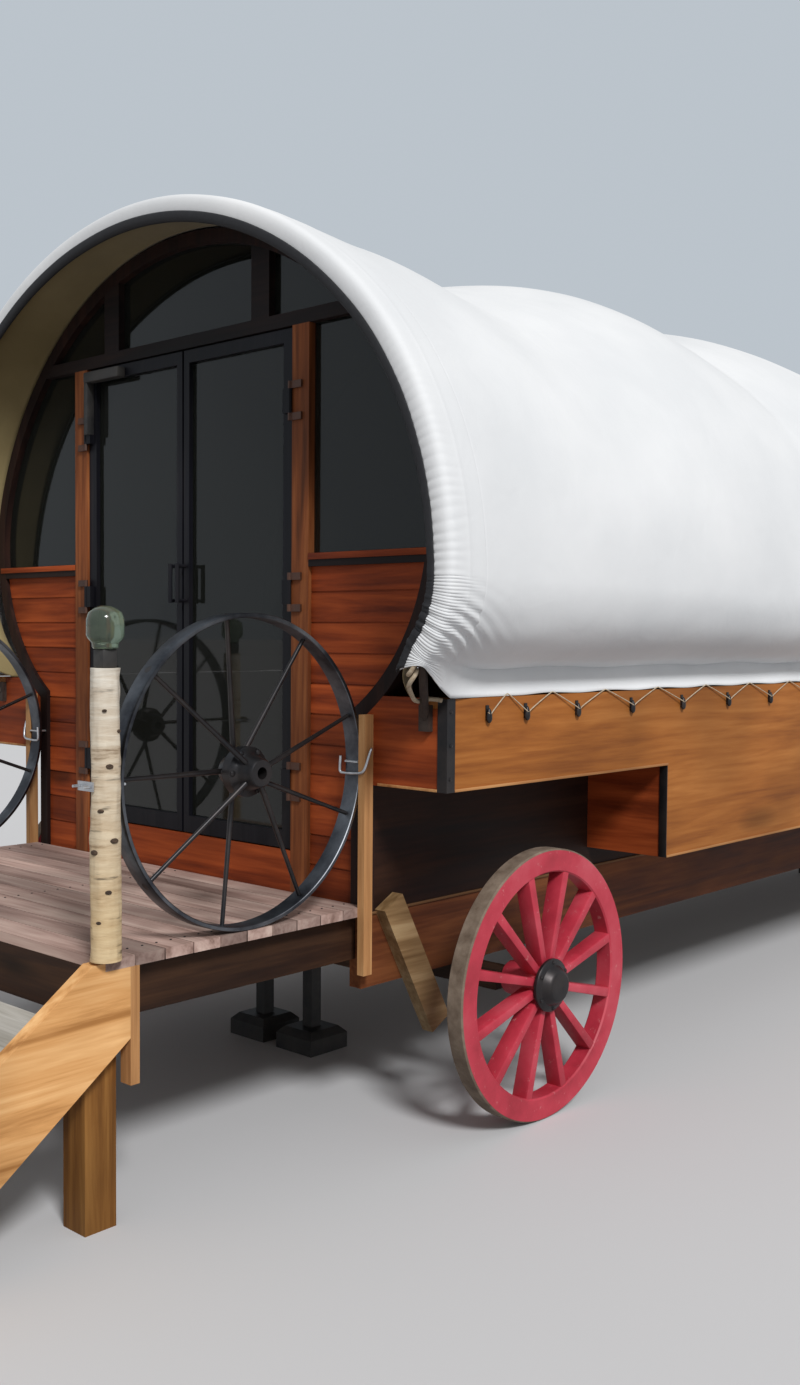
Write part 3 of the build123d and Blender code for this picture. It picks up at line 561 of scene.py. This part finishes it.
def cover_point(share, row, inset, foot_height):
    """A point and its outward direction on the cover's curve; share runs from -1 to 1 over it."""
    half, top, crease_half, crease_height, foot_half = row
    rise = top - spring
    step = (half - rise) / (math.cos(crown_turn) + math.sin(crown_turn) - 1)
    crown = rise + step * math.sin(crown_turn)
    shoulder = crown - step
    reach = half - shoulder
    span, fall = half - crease_half, spring - crease_height
    tuck = (span**2 + fall**2) / (2 * span)
    end = math.acos((crease_half - half + tuck) / tuck)
    size, sign = abs(share), 1 if share >= 0 else -1
    if size < crown_share:
        angle = math.pi / 2 + (crown_turn - math.pi / 2) * size / crown_share
        centre, radius = (0.0, top - crown), crown
    elif size < shoulder_share:
        angle = crown_turn * (1 - (size - crown_share) / (shoulder_share - crown_share))
        centre, radius = (reach, spring), shoulder
    else:
        angle = -end * min(1.0, (size - shoulder_share) / (tuck_share - shoulder_share))
        centre, radius = (half - tuck, spring), tuck
    x = centre[0] + (radius - inset) * math.cos(angle)
    z = centre[1] + (radius - inset) * math.sin(angle)
    if size > tuck_share:
        part = (size - tuck_share) / (1 - tuck_share)
        slide = (crease_height - foot_height) / max(crease_height - box_edge.z, 1e-6)
        foot_x = crease_half + (foot_half - crease_half) * min(1.0, slide)
        x += (foot_x - inset - x) * part
        z += (foot_height - z) * part
        angle = -end * (1 - part)
    return Vector((sign * x, 0, z)), Vector((sign * math.cos(angle), 0, math.sin(angle)))


def foot_line(along):
    """Height of the cloth's lower edge, which rises towards the rim ahead of the side box."""
    along = min(along, length - along)
    rim_foot = cover_rows[0][4] - 0.012
    scallop = 0.0025 * (1 - math.cos(2 * math.pi * along / scallop_pitch)) if along > 0.3 else 0.0
    return box_edge.z + 0.002 + scallop + max(0.0, along / rim_start) * (rim_foot - box_edge.z)


def bell(value, middle, reach):
    """1 at the middle and next to nothing at twice the reach from it."""
    return math.exp(-((value - middle) / reach) ** 2)


def cloth_swell(share, along, near):
    """Gathers by the rim, tension folds at its foot and soft waves everywhere."""
    girth = share * half_girth
    size, sign = abs(share), 1 if share >= 0 else -1
    wobble = noise.noise((girth * 6, near * 4, 3.1))
    low = max(0.0, min(1.0, (size - 0.3) / 0.45))
    pleats = abs(math.sin(girth * math.pi / pleat_pitch + 2.6 * wobble))
    reach = (0.02 + 0.075 * low) * (1 + 0.5 * noise.noise((girth * 17, 1.7, 0.4)))
    gather = 0.0036 * (0.07 + 0.93 * low) * (pleats**0.6 - 0.6) * bell(near, 0, reach)
    folds = math.sin((size * half_girth - near * 1.1) * fold_rate + 2 * wobble)
    fold = 0.005 * folds * bell(size, 0.8, 0.1) * bell(near, 0.15, 0.16)
    seam = 0.0012 * bell(near, 0.088, 0.006)
    wave = 0.006 * noise.noise((girth * 1.3, along * 1.6, 7.7)) * min(1.0, near / 0.3)
    ripple = 0.0015 * noise.noise((girth * 5, along * 4, 1.3))
    bulge = 0.004 * math.sin(along * 9 + 3 * noise.noise((along * 2, 0.3, sign)))
    bulge *= bell(size, 0.9, 0.035) * min(1.0, near / 0.4)
    return gather + fold + seam + wave + ripple + bulge


def woven_cloth(name, colour, other, relief):
    """Woven cotton with faint clouds of a second colour, shallow creases and a fine weave."""
    material, tree, shader, place = new_finish(name, 0.85)
    base = colour_ramp(tree, clouds(tree, place, 1.5, 5.0), [(0.35, colour), (0.65, other)])
    tree.links.new(base, shader.inputs["Base Color"])
    shader.inputs["Sheen Weight"].default_value = 0.15
    crease = clouds(tree, place, 7.0, 6.0, 0.5, 0.7)
    weave = clouds(tree, place, 420.0, 1.0)
    height = worked_out(tree, "MULTIPLY_ADD", weave, 0.06, crease)
    set_relief(tree, shader, height, relief, 0.01)
    return material


def hang_cloth(name, columns, stations, place, material, stands_for, thickness):
    """A grid of cloth, each vertex set by place(share, station), then given its thickness."""
    form = bmesh.new()
    bmesh.ops.create_grid(form, x_segments=columns, y_segments=len(stations) - 1, size=1)
    for vert in form.verts:
        station = stations[round((vert.co.y + 1) / 2 * (len(stations) - 1))]
        vert.co = place(vert.co.x, station)
    form.normal_update()

    def below_crown(face):
        centre = face.calc_center_median()
        return abs(centre.x) - centre.z

    if min(form.faces, key=below_crown).normal.z < 0:
        bmesh.ops.reverse_faces(form, faces=form.faces[:])
    piece = finish_piece(form, name, "wagon", [material], stands_for, 60)
    depth = piece.modifiers.new("thickness", "SOLIDIFY")
    depth.thickness = thickness
    depth.offset = -1
    return piece


canvas = woven_cloth("canvas", (0.74, 0.755, 0.77), (0.83, 0.84, 0.85), 0.28)


def cover_place(share, along):
    """A point of the main cloth, from one rim band to the other."""
    near = min(along, length - along) - rim_start
    point, outward = cover_point(share, cover_row(along), 0, foot_line(along))
    point += outward * cloth_swell(share, along, near)
    return Vector((point.x, front + along, point.z))


steps_along = 216
cloth_length = length - 2 * rim_start - 2 * band_reach
stations = [rim_start + band_reach + cloth_length * n / steps_along
            for n in range(steps_along + 1)]
main_cloth = hang_cloth("canvas_cover", 196, stations, cover_place, canvas, "canvas",
                        canvas_thick)

# Rim bands: at each mouth a separate band of canvas is gathered over the rim bow, and its inner
# edge is bound in black.
bound_edge = plain_coat("bound_edge", (0.008, 0.008, 0.01), (0.022, 0.022, 0.025), 0.75, scale=60)
# Columns: inset from the cover's outer curve, and how far the row lies behind the rim's front.
band_rows = [(0.076, 0.007), (0.068, 0.004), (0.056, 0.0015), (0.043, 0.0), (0.03, 0.0005),
             (0.018, 0.003), (0.009, 0.008), (0.003, 0.016), (0.0006, 0.026), (0, 0.036),
             (0, 0.047), (0, 0.059), (0, 0.07), (0, 0.079), (0, 0.084), (0, 0.088), (0, 0.092),
             (0, 0.098), (0, 0.11), (-0.0004, 0.125), (-0.0011, 0.142), (-0.0011, 0.1605),
             (-0.0011, 0.162)]
edge_rows = [(0.058, 0.0), (0.061, -0.002), (0.066, -0.003), (0.073, -0.003), (0.08, -0.002),
             (0.086, 0.001), (0.09, 0.006), (0.092, 0.014)]
for end in ("front", "rear"):
    def band_place(share, row, end=end):
        """A point of the gathered band, from its bound edge over the rim to the main cloth."""
        inset, behind = row
        along = rim_start + behind
        curve = cover_row(along)
        point, outward = cover_point(share, curve, inset, foot_line(along) - 0.2 * inset)
        swell = cloth_swell(share, along if end == "front" else length - along, behind)
        over = min(1.0, inset / 0.05)
        point += outward * swell * (1 - over)
        y = front + along - swell * over * 1.3
        if end == "rear":
            y = front + back - y
        return Vector((point.x, y, point.z))

    band = hang_cloth("canvas_band_" + end, 1150, band_rows, band_place, canvas, None,
                      canvas_thick)
    binding = hang_cloth("bound_edge_" + end, 300, edge_rows, band_place, bound_edge,
                         "rim_edging" if end == "front" else None, 0.002)

# Linings: cloth stretched from each rim back to the arched wall, as a shallow cone that sags a
# little. Its olive-brown is darker than the cloth itself, as painted shade under the overhang.
lining_cloth = woven_cloth("lining_cloth", (0.2, 0.15, 0.06), (0.32, 0.25, 0.115), 0.35)
# The row at the wall: half width, top, half width and height of the crease, half width at the
# foot.
throat_row = (1.266, spring + 1.266, 1.105, deck + 0.757, 1.105)
lining_start, lining_reach, lining_inset = 0.012, 0.244, 0.07
for end in ("front", "rear"):
    def lining_place(share, part, end=end):
        """A point of the lining, from the mouth at part 0 to the wall at part 1."""
        along = rim_start + lining_start + part * lining_reach
        mouth, out = cover_point(share, cover_rows[0][1:], lining_inset, foot_line(along))
        rest, _ = cover_point(share, throat_row, 0.0, foot_line(along))
        point = mouth.lerp(rest, part)
        sag = 0.004 * noise.noise((share * 14, part * 2, 5.0)) * math.sin(math.pi * part)
        point += out * sag
        y = front + along
        if end == "rear":
            y = front + back - y
        return Vector((point.x, y, point.z))

    lining = hang_cloth("lining_" + end, 260, [n / 10 for n in range(11)], lining_place,
                        lining_cloth,
                        "overhang_linings" if end == "front" else None, 0.002)

# Lacing: a thin pale rope runs zigzag between the skirt's hem and black hooks screwed to the side
# boards. Towards the front the hooks stand where the photograph shows them.
rope_fibre = plain_coat("rope_fibre", (0.42, 0.31, 0.2), (0.66, 0.56, 0.42), 0.85,
                        scale=90, relief=0.4)
hook_places = [0.19, 0.386, 0.672, 1.008, 1.356, 1.705, 2.056]
hook_pitch = 0.35
while hook_places[-1] + hook_pitch < length - 0.4:
    hook_places.append(hook_places[-1] + hook_pitch)
hook_places += [length - 0.386, length - 0.19]
hook_height = box_edge.z - 0.052
pear_size = Vector((0.008, 0.011, 0.024))
lacing_thick, drawstring_thick = 0.0038, 0.014


def bent_rod(name, points, thick, material, fineness=(2, 4)):
    """A round rope or rod along points, smooth at its turns."""
    data = bpy.data.curves.new(name, "CURVE")
    data.dimensions = "3D"
    data.bevel_depth = thick / 2
    data.bevel_resolution, data.resolution_u = fineness
    data.use_fill_caps = True
    line = data.splines.new("NURBS")
    line.points.add(len(points) - 1)
    for point, place in zip(line.points, points):
        point.co = (*place, 1)
    line.order_u = 3
    line.use_endpoint_u = True
    data.materials.append(material)
    rod = put(name, data)
    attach(rod, "wagon")


# Rim ties: the drawstring of each rim is knotted at its foot and tied back to the box's corner.
# Columns: place outwards, place along from the wall's face, height.
knot_height = deck + 0.79
tie_points = [(1.345, -0.226, knot_height + 0.01), (1.325, -0.232, knot_height - 0.03),
              (1.3, -0.225, knot_height - 0.045), (1.31, -0.2, knot_height - 0.02),
              (1.33, -0.215, knot_height - 0.035), (1.3, -0.22, knot_height - 0.07),
              (1.255, -0.16, knot_height - 0.09), (1.2, -0.075, box_edge.z - 0.012),
              (1.21, -0.02, box_edge.z + 0.004), (1.25, -0.012, box_edge.z - 0.004)]
for side, sign in sides:
    hooks = bmesh.new()
    zigzag = []
    for number, along in enumerate(hook_places):
        y = front + along
        pear = bmesh.new()
        bmesh.ops.create_uvsphere(pear, u_segments=12, v_segments=8, radius=1)
        for vert in pear.verts:
            wide = 1.0 - 0.35 * vert.co.z
            vert.co = Vector((wide * vert.co.x, wide * vert.co.y, vert.co.z)) * pear_size
        move(pear, (sign * (box_edge.x + 0.01), y, hook_height - 0.004))
        merge_into(hooks, pear)
        slab(hooks, sign, (box_edge.x, box_edge.x + 0.004), (y - 0.008, y + 0.008),
             (hook_height - 0.02, hook_height + 0.028), 0.0015)
        x = sign * (box_edge.x + 0.013)
        if number:
            middle = front + (hook_places[number - 1] + along) / 2
            for shift in (-0.006, 0.006):
                zigzag.append((sign * (box_edge.x + 0.004), middle + shift, box_edge.z + 0.009))
        zigzag += [(x, y - 0.009, hook_height + 0.006), (x + sign * 0.003, y, hook_height - 0.002),
                   (x, y + 0.009, hook_height + 0.006)]
    finish_piece(hooks, "lacing_hooks_" + side, "wagon", [black_iron])
    bent_rod("lacing_" + side, zigzag, lacing_thick, rope_fibre)
    for end in ("front", "rear"):
        places = [(sign * x, front + (along if end == "front" else length - along), height)
                  for x, along, height in tie_points]
        bent_rod("rim_tie_" + end + "_" + side, places, drawstring_thick, rope_fibre)

# Deck: weathered grey boards across the wagon on bearers stained near black as painted shade,
# each board with a tone of its own and two dark screws over each bearer.
board_count = 10
board_gap = 0.005
deck_low, deck_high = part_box("deck_boards")
board_step = (deck_high.y + board_gap - deck_low.y) / board_count
deck_tones = ((0.18, 0.112, 0.09), (0.342, 0.232, 0.198), (0.468, 0.353, 0.301))
# Painted shade: the bearers and the front beam are stained near black for the shadow under the
# deck.
shaded_bearer_wood = ((0.014, 0.006, 0.004), (0.03, 0.013, 0.007), (0.055, 0.025, 0.012))
deck_timber = timber("deck_timber", deck_tones, "X", boards=("Y", board_step, deck_low.y),
                     rough=0.7)
dress(deck_timber, "deck_boards")
dress(timber("shaded_bearer_timber", shaded_bearer_wood, "Y", knots=0.5), "deck_bearers")
dress(timber("shaded_beam_timber", shaded_bearer_wood, "X", knots=0.5), "deck_front_beam")
deck_screws = [(x, deck_low.y + board_step * n + y, deck_high.z)
               for n in range(board_count) for x in (-0.86, 0.0, 0.86) for y in (0.022, 0.072)]
screw_heads("deck_screws", deck_screws, 0.004, (0, 0, 1))

# Steps: fresh knotty stringers and brown legs carry worn grey treads on pale cleats. The posts
# between wall and deck are of the same pale wood.
new_wood = ((0.341, 0.151, 0.045), (0.572, 0.292, 0.108), (0.726, 0.432, 0.194))
pale_wood = ((0.26, 0.12, 0.045), (0.4, 0.2, 0.08), (0.54, 0.31, 0.14))
leg_wood = ((0.088, 0.034, 0.008), (0.172, 0.072, 0.017), (0.264, 0.124, 0.033))
tread_wood = ((0.22, 0.2, 0.17), (0.36, 0.34, 0.3), (0.5, 0.48, 0.44))
dress(timber("step_timber", new_wood, "Y", knots=0.6), "step_stringers")
dress(timber("wall_post_timber", pale_wood, "Z"), "wall_posts", "step_cleats")
dress(timber("leg_timber", leg_wood, "Z", knots=0.5), "step_legs")
dress(timber("tread_timber", tread_wood, "X", rough=0.8), "step_treads")

# Iron wheels: old black rims with thin round spokes riveted to the rim and let into a flanged
# hub. They stand on the deck as its rails, clamped to the log and hooked to the wall post.


def rolled_finish():
    """Bare iron rolled round the hub's axis, bright where it is rubbed."""
    material, tree, shader, place = new_finish("rolled_iron", 0.42, 1.0)
    shader.inputs["Anisotropic"].default_value = 0.8
    round_hub = add(tree, "Tangent", direction_type="RADIAL", axis="X")
    tree.links.new(round_hub.outputs[0], shader.inputs["Tangent"])
    cloud = clouds(tree, place, 5.0, 5.0, 0.6)
    base = colour_ramp(tree, cloud, [(0.4, (0.045, 0.047, 0.055)), (0.75, (0.24, 0.25, 0.27))])
    tree.links.new(base, shader.inputs["Base Color"])
    return material


rolled_iron = rolled_finish()
dress(galvanised, "rail_clamps")
rim_half = 0.031
rim_round = 0.003
iron_spokes = 9
spoke_lean = 0.044
parked_turn = math.radians(9)
hub_nuts = 6
# Columns: place outwards, place along from the wall's face, height.
hook_points = [(0.964, -0.014, 1.248), (0.972, -0.02, 1.252), (0.972, -0.03, 1.235),
               (0.966, -0.042, 1.19), (0.955, -0.045, 1.174), (0.93, -0.046, 1.17),
               (0.875, -0.046, 1.168), (0.858, -0.046, 1.17), (0.857, -0.046, 1.185),
               (0.86, -0.046, 1.222)]
for side, sign in sides:
    low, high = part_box("iron_wheel_" + side)
    centre = (low + high) / 2
    radius = (high.z - low.z) / 2
    ring = bmesh.new()
    turned(ring, [(-rim_half, radius - 0.011), (-rim_half, radius - 0.002),
                  (rim_round - rim_half, radius), (rim_half - rim_round, radius),
                  (rim_half, radius - 0.002), (rim_half, radius - 0.011),
                  (rim_half - 0.002, radius - 0.013), (0.002 - rim_half, radius - 0.013)], 160)
    for face in ring.faces:
        face.material_index = 1
    for turn in range(iron_spokes):
        spoke = bmesh.new()
        start = Vector((spoke_lean if turn % 2 else -spoke_lean, 0, 0.04))
        reach = Vector((0, 0, radius - 0.008)) - start
        turned(spoke, [(0, 0), (0, 0.0085), (0.3, 0.0065), (reach.length, 0.0065),
                       (reach.length, 0)], 14, start, reach.normalized())
        rivet = bmesh.new()
        turned(rivet, [(-0.012, 0), (-0.012, 0.012), (-0.004, 0.013), (0, 0.008), (0, 0)], 12,
               (0, 0, radius - 0.012), (0, 0, -1))
        merge_into(spoke, rivet)
        rotate(spoke, Matrix.Rotation(2 * math.pi * turn / iron_spokes + parked_turn, 3, "X"))
        merge_into(ring, spoke)
    hub = bmesh.new()
    turned(hub, [(-0.075, 0.018), (-0.075, 0.038), (-0.07, 0.042), (-0.052, 0.046),
                 (-0.03, 0.052), (-0.02, 0.06), (-0.016, 0.074), (0.016, 0.074), (0.02, 0.06),
                 (0.03, 0.052), (0.052, 0.046), (0.07, 0.042), (0.075, 0.038), (0.075, 0.018)], 48)
    merge_into(ring, hub)
    for face_side in (1, -1):
        for turn in range(hub_nuts):
            nut = bmesh.new()
            angle = 2 * math.pi * turn / hub_nuts
            turned(nut, [(0, 0), (0, 0.009), (0.011, 0.009), (0.013, 0.006), (0.013, 0)], 6,
                   (face_side * 0.012, 0.064 * math.cos(angle), 0.064 * math.sin(angle)),
                   (face_side, 0, 0))
            merge_into(ring, nut)
    move(ring, centre)
    finish_piece(ring, "iron_rail_wheel_" + side, "wagon", [black_iron, rolled_iron],
                 "iron_wheel_" + side)
    # Rim hook: a bent galvanised rod ties the rim to the wall post.
    bent_rod("rim_hook_" + side, [(sign * x, front + y, z) for x, y, z in hook_points], 0.0084,
             galvanised, (3, 6))

# Birch posts: short logs with peeling bark, dark knots and a tan foot stand at the deck's two
# outer corners.


def bark_finish():
    """White birch bark: cream rings that peel, dark dashes and darker patches near the knots."""
    material, tree, shader, place = new_finish("birch_bark", 0.75)
    rings = add(tree, "Mapping", {"Vector": place, "Scale": (3.0, 3.0, 26.0)}).outputs[0]
    band = clouds(tree, rings, 1.6, 6.0, 0.7)
    base = colour_ramp(tree, band, [(0.3, (0.3, 0.22, 0.15)), (0.42, (0.62, 0.53, 0.42)),
                                    (0.6, (0.78, 0.72, 0.62))])
    dash_place = add(tree, "Mapping", {"Vector": place, "Scale": (9.0, 9.0, 60.0)}).outputs[0]
    dark = spread(tree, clouds(tree, dash_place, 1.0, 3.0), 0.63, 0.72, 1.0, 0.35)
    spots = add(tree, "TexVoronoi", {"Vector": place, "Scale": 7.5}).outputs["Distance"]
    shade = worked_out(tree, "MULTIPLY", dark, spread(tree, spots, 0.04, 0.11, 0.3, 1.0))
    base = add(tree, "VectorMath", {0: base, "Scale": shade}, operation="SCALE").outputs[0]
    height = add(tree, "SeparateXYZ", {0: place}).outputs["Z"]
    foot = spread(tree, height, deck + 0.75, deck + 0.1)
    tan = add(tree, "Mix", {0: foot, 6: (1, 1, 1, 1), 7: (0.9, 0.74, 0.5, 1)},
              data_type="RGBA").outputs[2]
    base = add(tree, "VectorMath", {0: base, 1: tan}, operation="MULTIPLY").outputs[0]
    tree.links.new(base, shader.inputs["Base Color"])
    set_relief(tree, shader, band, 0.8, 0.004)
    return material


birch_bark = bark_finish()
knot_bark = plain_coat("knot_bark", (0.03, 0.018, 0.012), (0.12, 0.075, 0.045), 0.85,
                       scale=60, relief=0.6)
foot_radius, head_radius = 0.042, 0.039
seen_half_width, knot_out = 44, 0.04
facing_turn = math.atan2(0.577, 0.816)
# Columns: height, place across the log in mm from the middle of what is seen, size in mm.
knots = ((1.259, 12, 8), (1.143, -14, 7), (1.064, 26, 9), (1.033, -34, 9),
         (1.404, -3, 5), (0.93, 8, 7), (0.85, -20, 6), (1.35, 38, 6))
low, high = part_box("birch_posts")
for side, sign in sides:
    x = sign * (high.x - foot_radius)
    y = (low.y + high.y) / 2
    log = bmesh.new()
    bmesh.ops.create_cone(log, cap_ends=True, segments=56, radius1=foot_radius,
                          radius2=head_radius, depth=high.z - low.z)
    rims = [edge for edge in log.edges if abs(edge.verts[0].co.z - edge.verts[1].co.z) > 0.1]
    bmesh.ops.subdivide_edges(log, edges=rims, cuts=70, use_grid_fill=False)
    for vert in log.verts:
        angle = math.atan2(vert.co.y, vert.co.x)
        height = vert.co.z
        swell = noise.noise((math.cos(angle) * 1.4, math.sin(angle) * 1.4, height * 5 + sign))
        peel = noise.noise((math.cos(angle) * 3, math.sin(angle) * 3, height * 22 + 4 * sign))
        bump = 0.0035 * swell + (0.0035 * max(0.0, peel) - 0.002)
        if abs(height) < (high.z - low.z) / 2 - 0.001:
            vert.co.x += bump * math.cos(angle)
            vert.co.y += bump * math.sin(angle)
    move(log, (x, y, (low.z + high.z) / 2))
    for height, swing, size in knots:
        turn = math.asin(swing / seen_half_width) - facing_turn
        facing = Vector((sign * math.cos(turn), math.sin(turn), 0))
        knot = bmesh.new()
        turned(knot, [(-0.006, 0), (-0.006, 0.0014 * size), (0.001, 0.0012 * size),
                      (0.003, 0.0007 * size), (0.001, 0)], 12, (0, 0, 0), facing)
        bmesh.ops.scale(knot, vec=(1, 1, 0.62), verts=knot.verts[:])
        move(knot, Vector((x, y, height)) + facing * knot_out)
        for face in knot.faces:
            face.material_index = 1
        merge_into(log, knot)
    finish_piece(log, "birch_log_" + side, "wagon", [birch_bark, knot_bark],
                 "birch_posts" if sign > 0 else None, 60)

# Lamps: a greenish pressed-glass jar stands on a square black base at each log's top. Its narrow
# neck is below and its domed end above.


def jar_finish():
    """Greenish pressed glass, a little cloudy."""
    material, tree, shader, place = new_finish("jar_glass", 0.08)
    shader.inputs["Base Color"].default_value = (0.26, 0.33, 0.24, 1)
    shader.inputs["Transmission Weight"].default_value = 0.85
    shader.inputs["IOR"].default_value = 1.45
    dull = spread(tree, clouds(tree, place, 40.0, 4.0), 0.0, 1.0, 0.04, 0.22)
    tree.links.new(dull, shader.inputs["Roughness"])
    return material


jar_glass = jar_finish()
base_half = 0.023
base_low, base_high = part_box("lantern_bases")
jar_low, jar_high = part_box("lantern_jars")
tall = jar_high.z - jar_low.z
for side, sign in sides:
    x, y = sign * (base_high.x - base_half), (base_low.y + base_high.y) / 2
    base = bmesh.new()
    block(base, (x - base_half, y - base_half, base_low.z),
          (x + base_half, y + base_half, base_high.z), 0.005)
    finish_piece(base, "lamp_base_" + side, "wagon", [black_plastic],
                 "lantern_bases" if sign > 0 else None)
    jar = bmesh.new()
    turned(jar, [(0, 0), (0, 0.03), (0.004, 0.034), (0.016, 0.035), (0.026, 0.045),
                 (0.034, 0.0495), (0.075, 0.0495), (0.094, 0.044), (0.106, 0.028),
                 (tall, 0.012), (tall, 0)], 40, (x, y, jar_low.z), (0, 0, 1))
    finish_piece(jar, "lamp_jar_" + side, "wagon", [jar_glass],
                 "lantern_jars" if sign > 0 else None)

# Room for the picture: a plain pale floor under a plain pale backdrop, lit by a wide soft sun
# from the front right and by an even white light from all round.
floor_reach = 250
floor_form = bmesh.new()
bmesh.ops.create_grid(floor_form, x_segments=1, y_segments=1, size=floor_reach)
floor_mesh = bpy.data.meshes.new("ground")
floor_form.to_mesh(floor_mesh)
floor_form.free()
ground = put("ground", floor_mesh)
ground_coat, ground_tree, ground_shader, _ = new_finish("ground_coat", 0.9)
floor_mesh.materials.append(ground_coat)


def seen_rays(tree):
    """1 for rays that show the background to the camera, straight, mirrored or through glass."""
    kinds = add(tree, "LightPath").outputs
    shiny = worked_out(tree, "MAXIMUM", kinds["Is Glossy Ray"], kinds["Is Transmission Ray"])
    return worked_out(tree, "MAXIMUM", kinds["Is Camera Ray"], shiny)


pale = add(ground_tree, "Mix", {0: seen_rays(ground_tree), 6: (0.3, 0.3, 0.31, 1),
                                7: (0.62, 0.62, 0.63, 1)}, data_type="RGBA").outputs[2]
ground_tree.links.new(pale, ground_shader.inputs["Base Color"])
sun_data = bpy.data.lights.new("sun", "SUN")
sun_data.energy = 2.4
sun_data.angle = 0.22
sun = put("sun", sun_data)
sun.rotation_euler = Vector((0.62, -0.31, 0.62)).to_track_quat("Z", "Y").to_euler()
world = bpy.data.worlds.new("room")
bpy.context.scene.world = world
world.use_nodes = True
sky = world.node_tree
light = sky.nodes["Background"]
light.inputs["Strength"].default_value = 0.46
light.inputs["Color"].default_value = (1, 1, 1, 1)
bright = add(sky, "Background", {"Color": (0.5, 0.55, 0.6, 1), "Strength": 1.0})
mix = add(sky, "MixShader", {0: seen_rays(sky), 1: light.outputs[0], 2: bright.outputs[0]})
sky.links.new(mix.outputs[0], sky.nodes["World Output"].inputs["Surface"])
bpy.context.scene.view_settings.view_transform = "Standard"
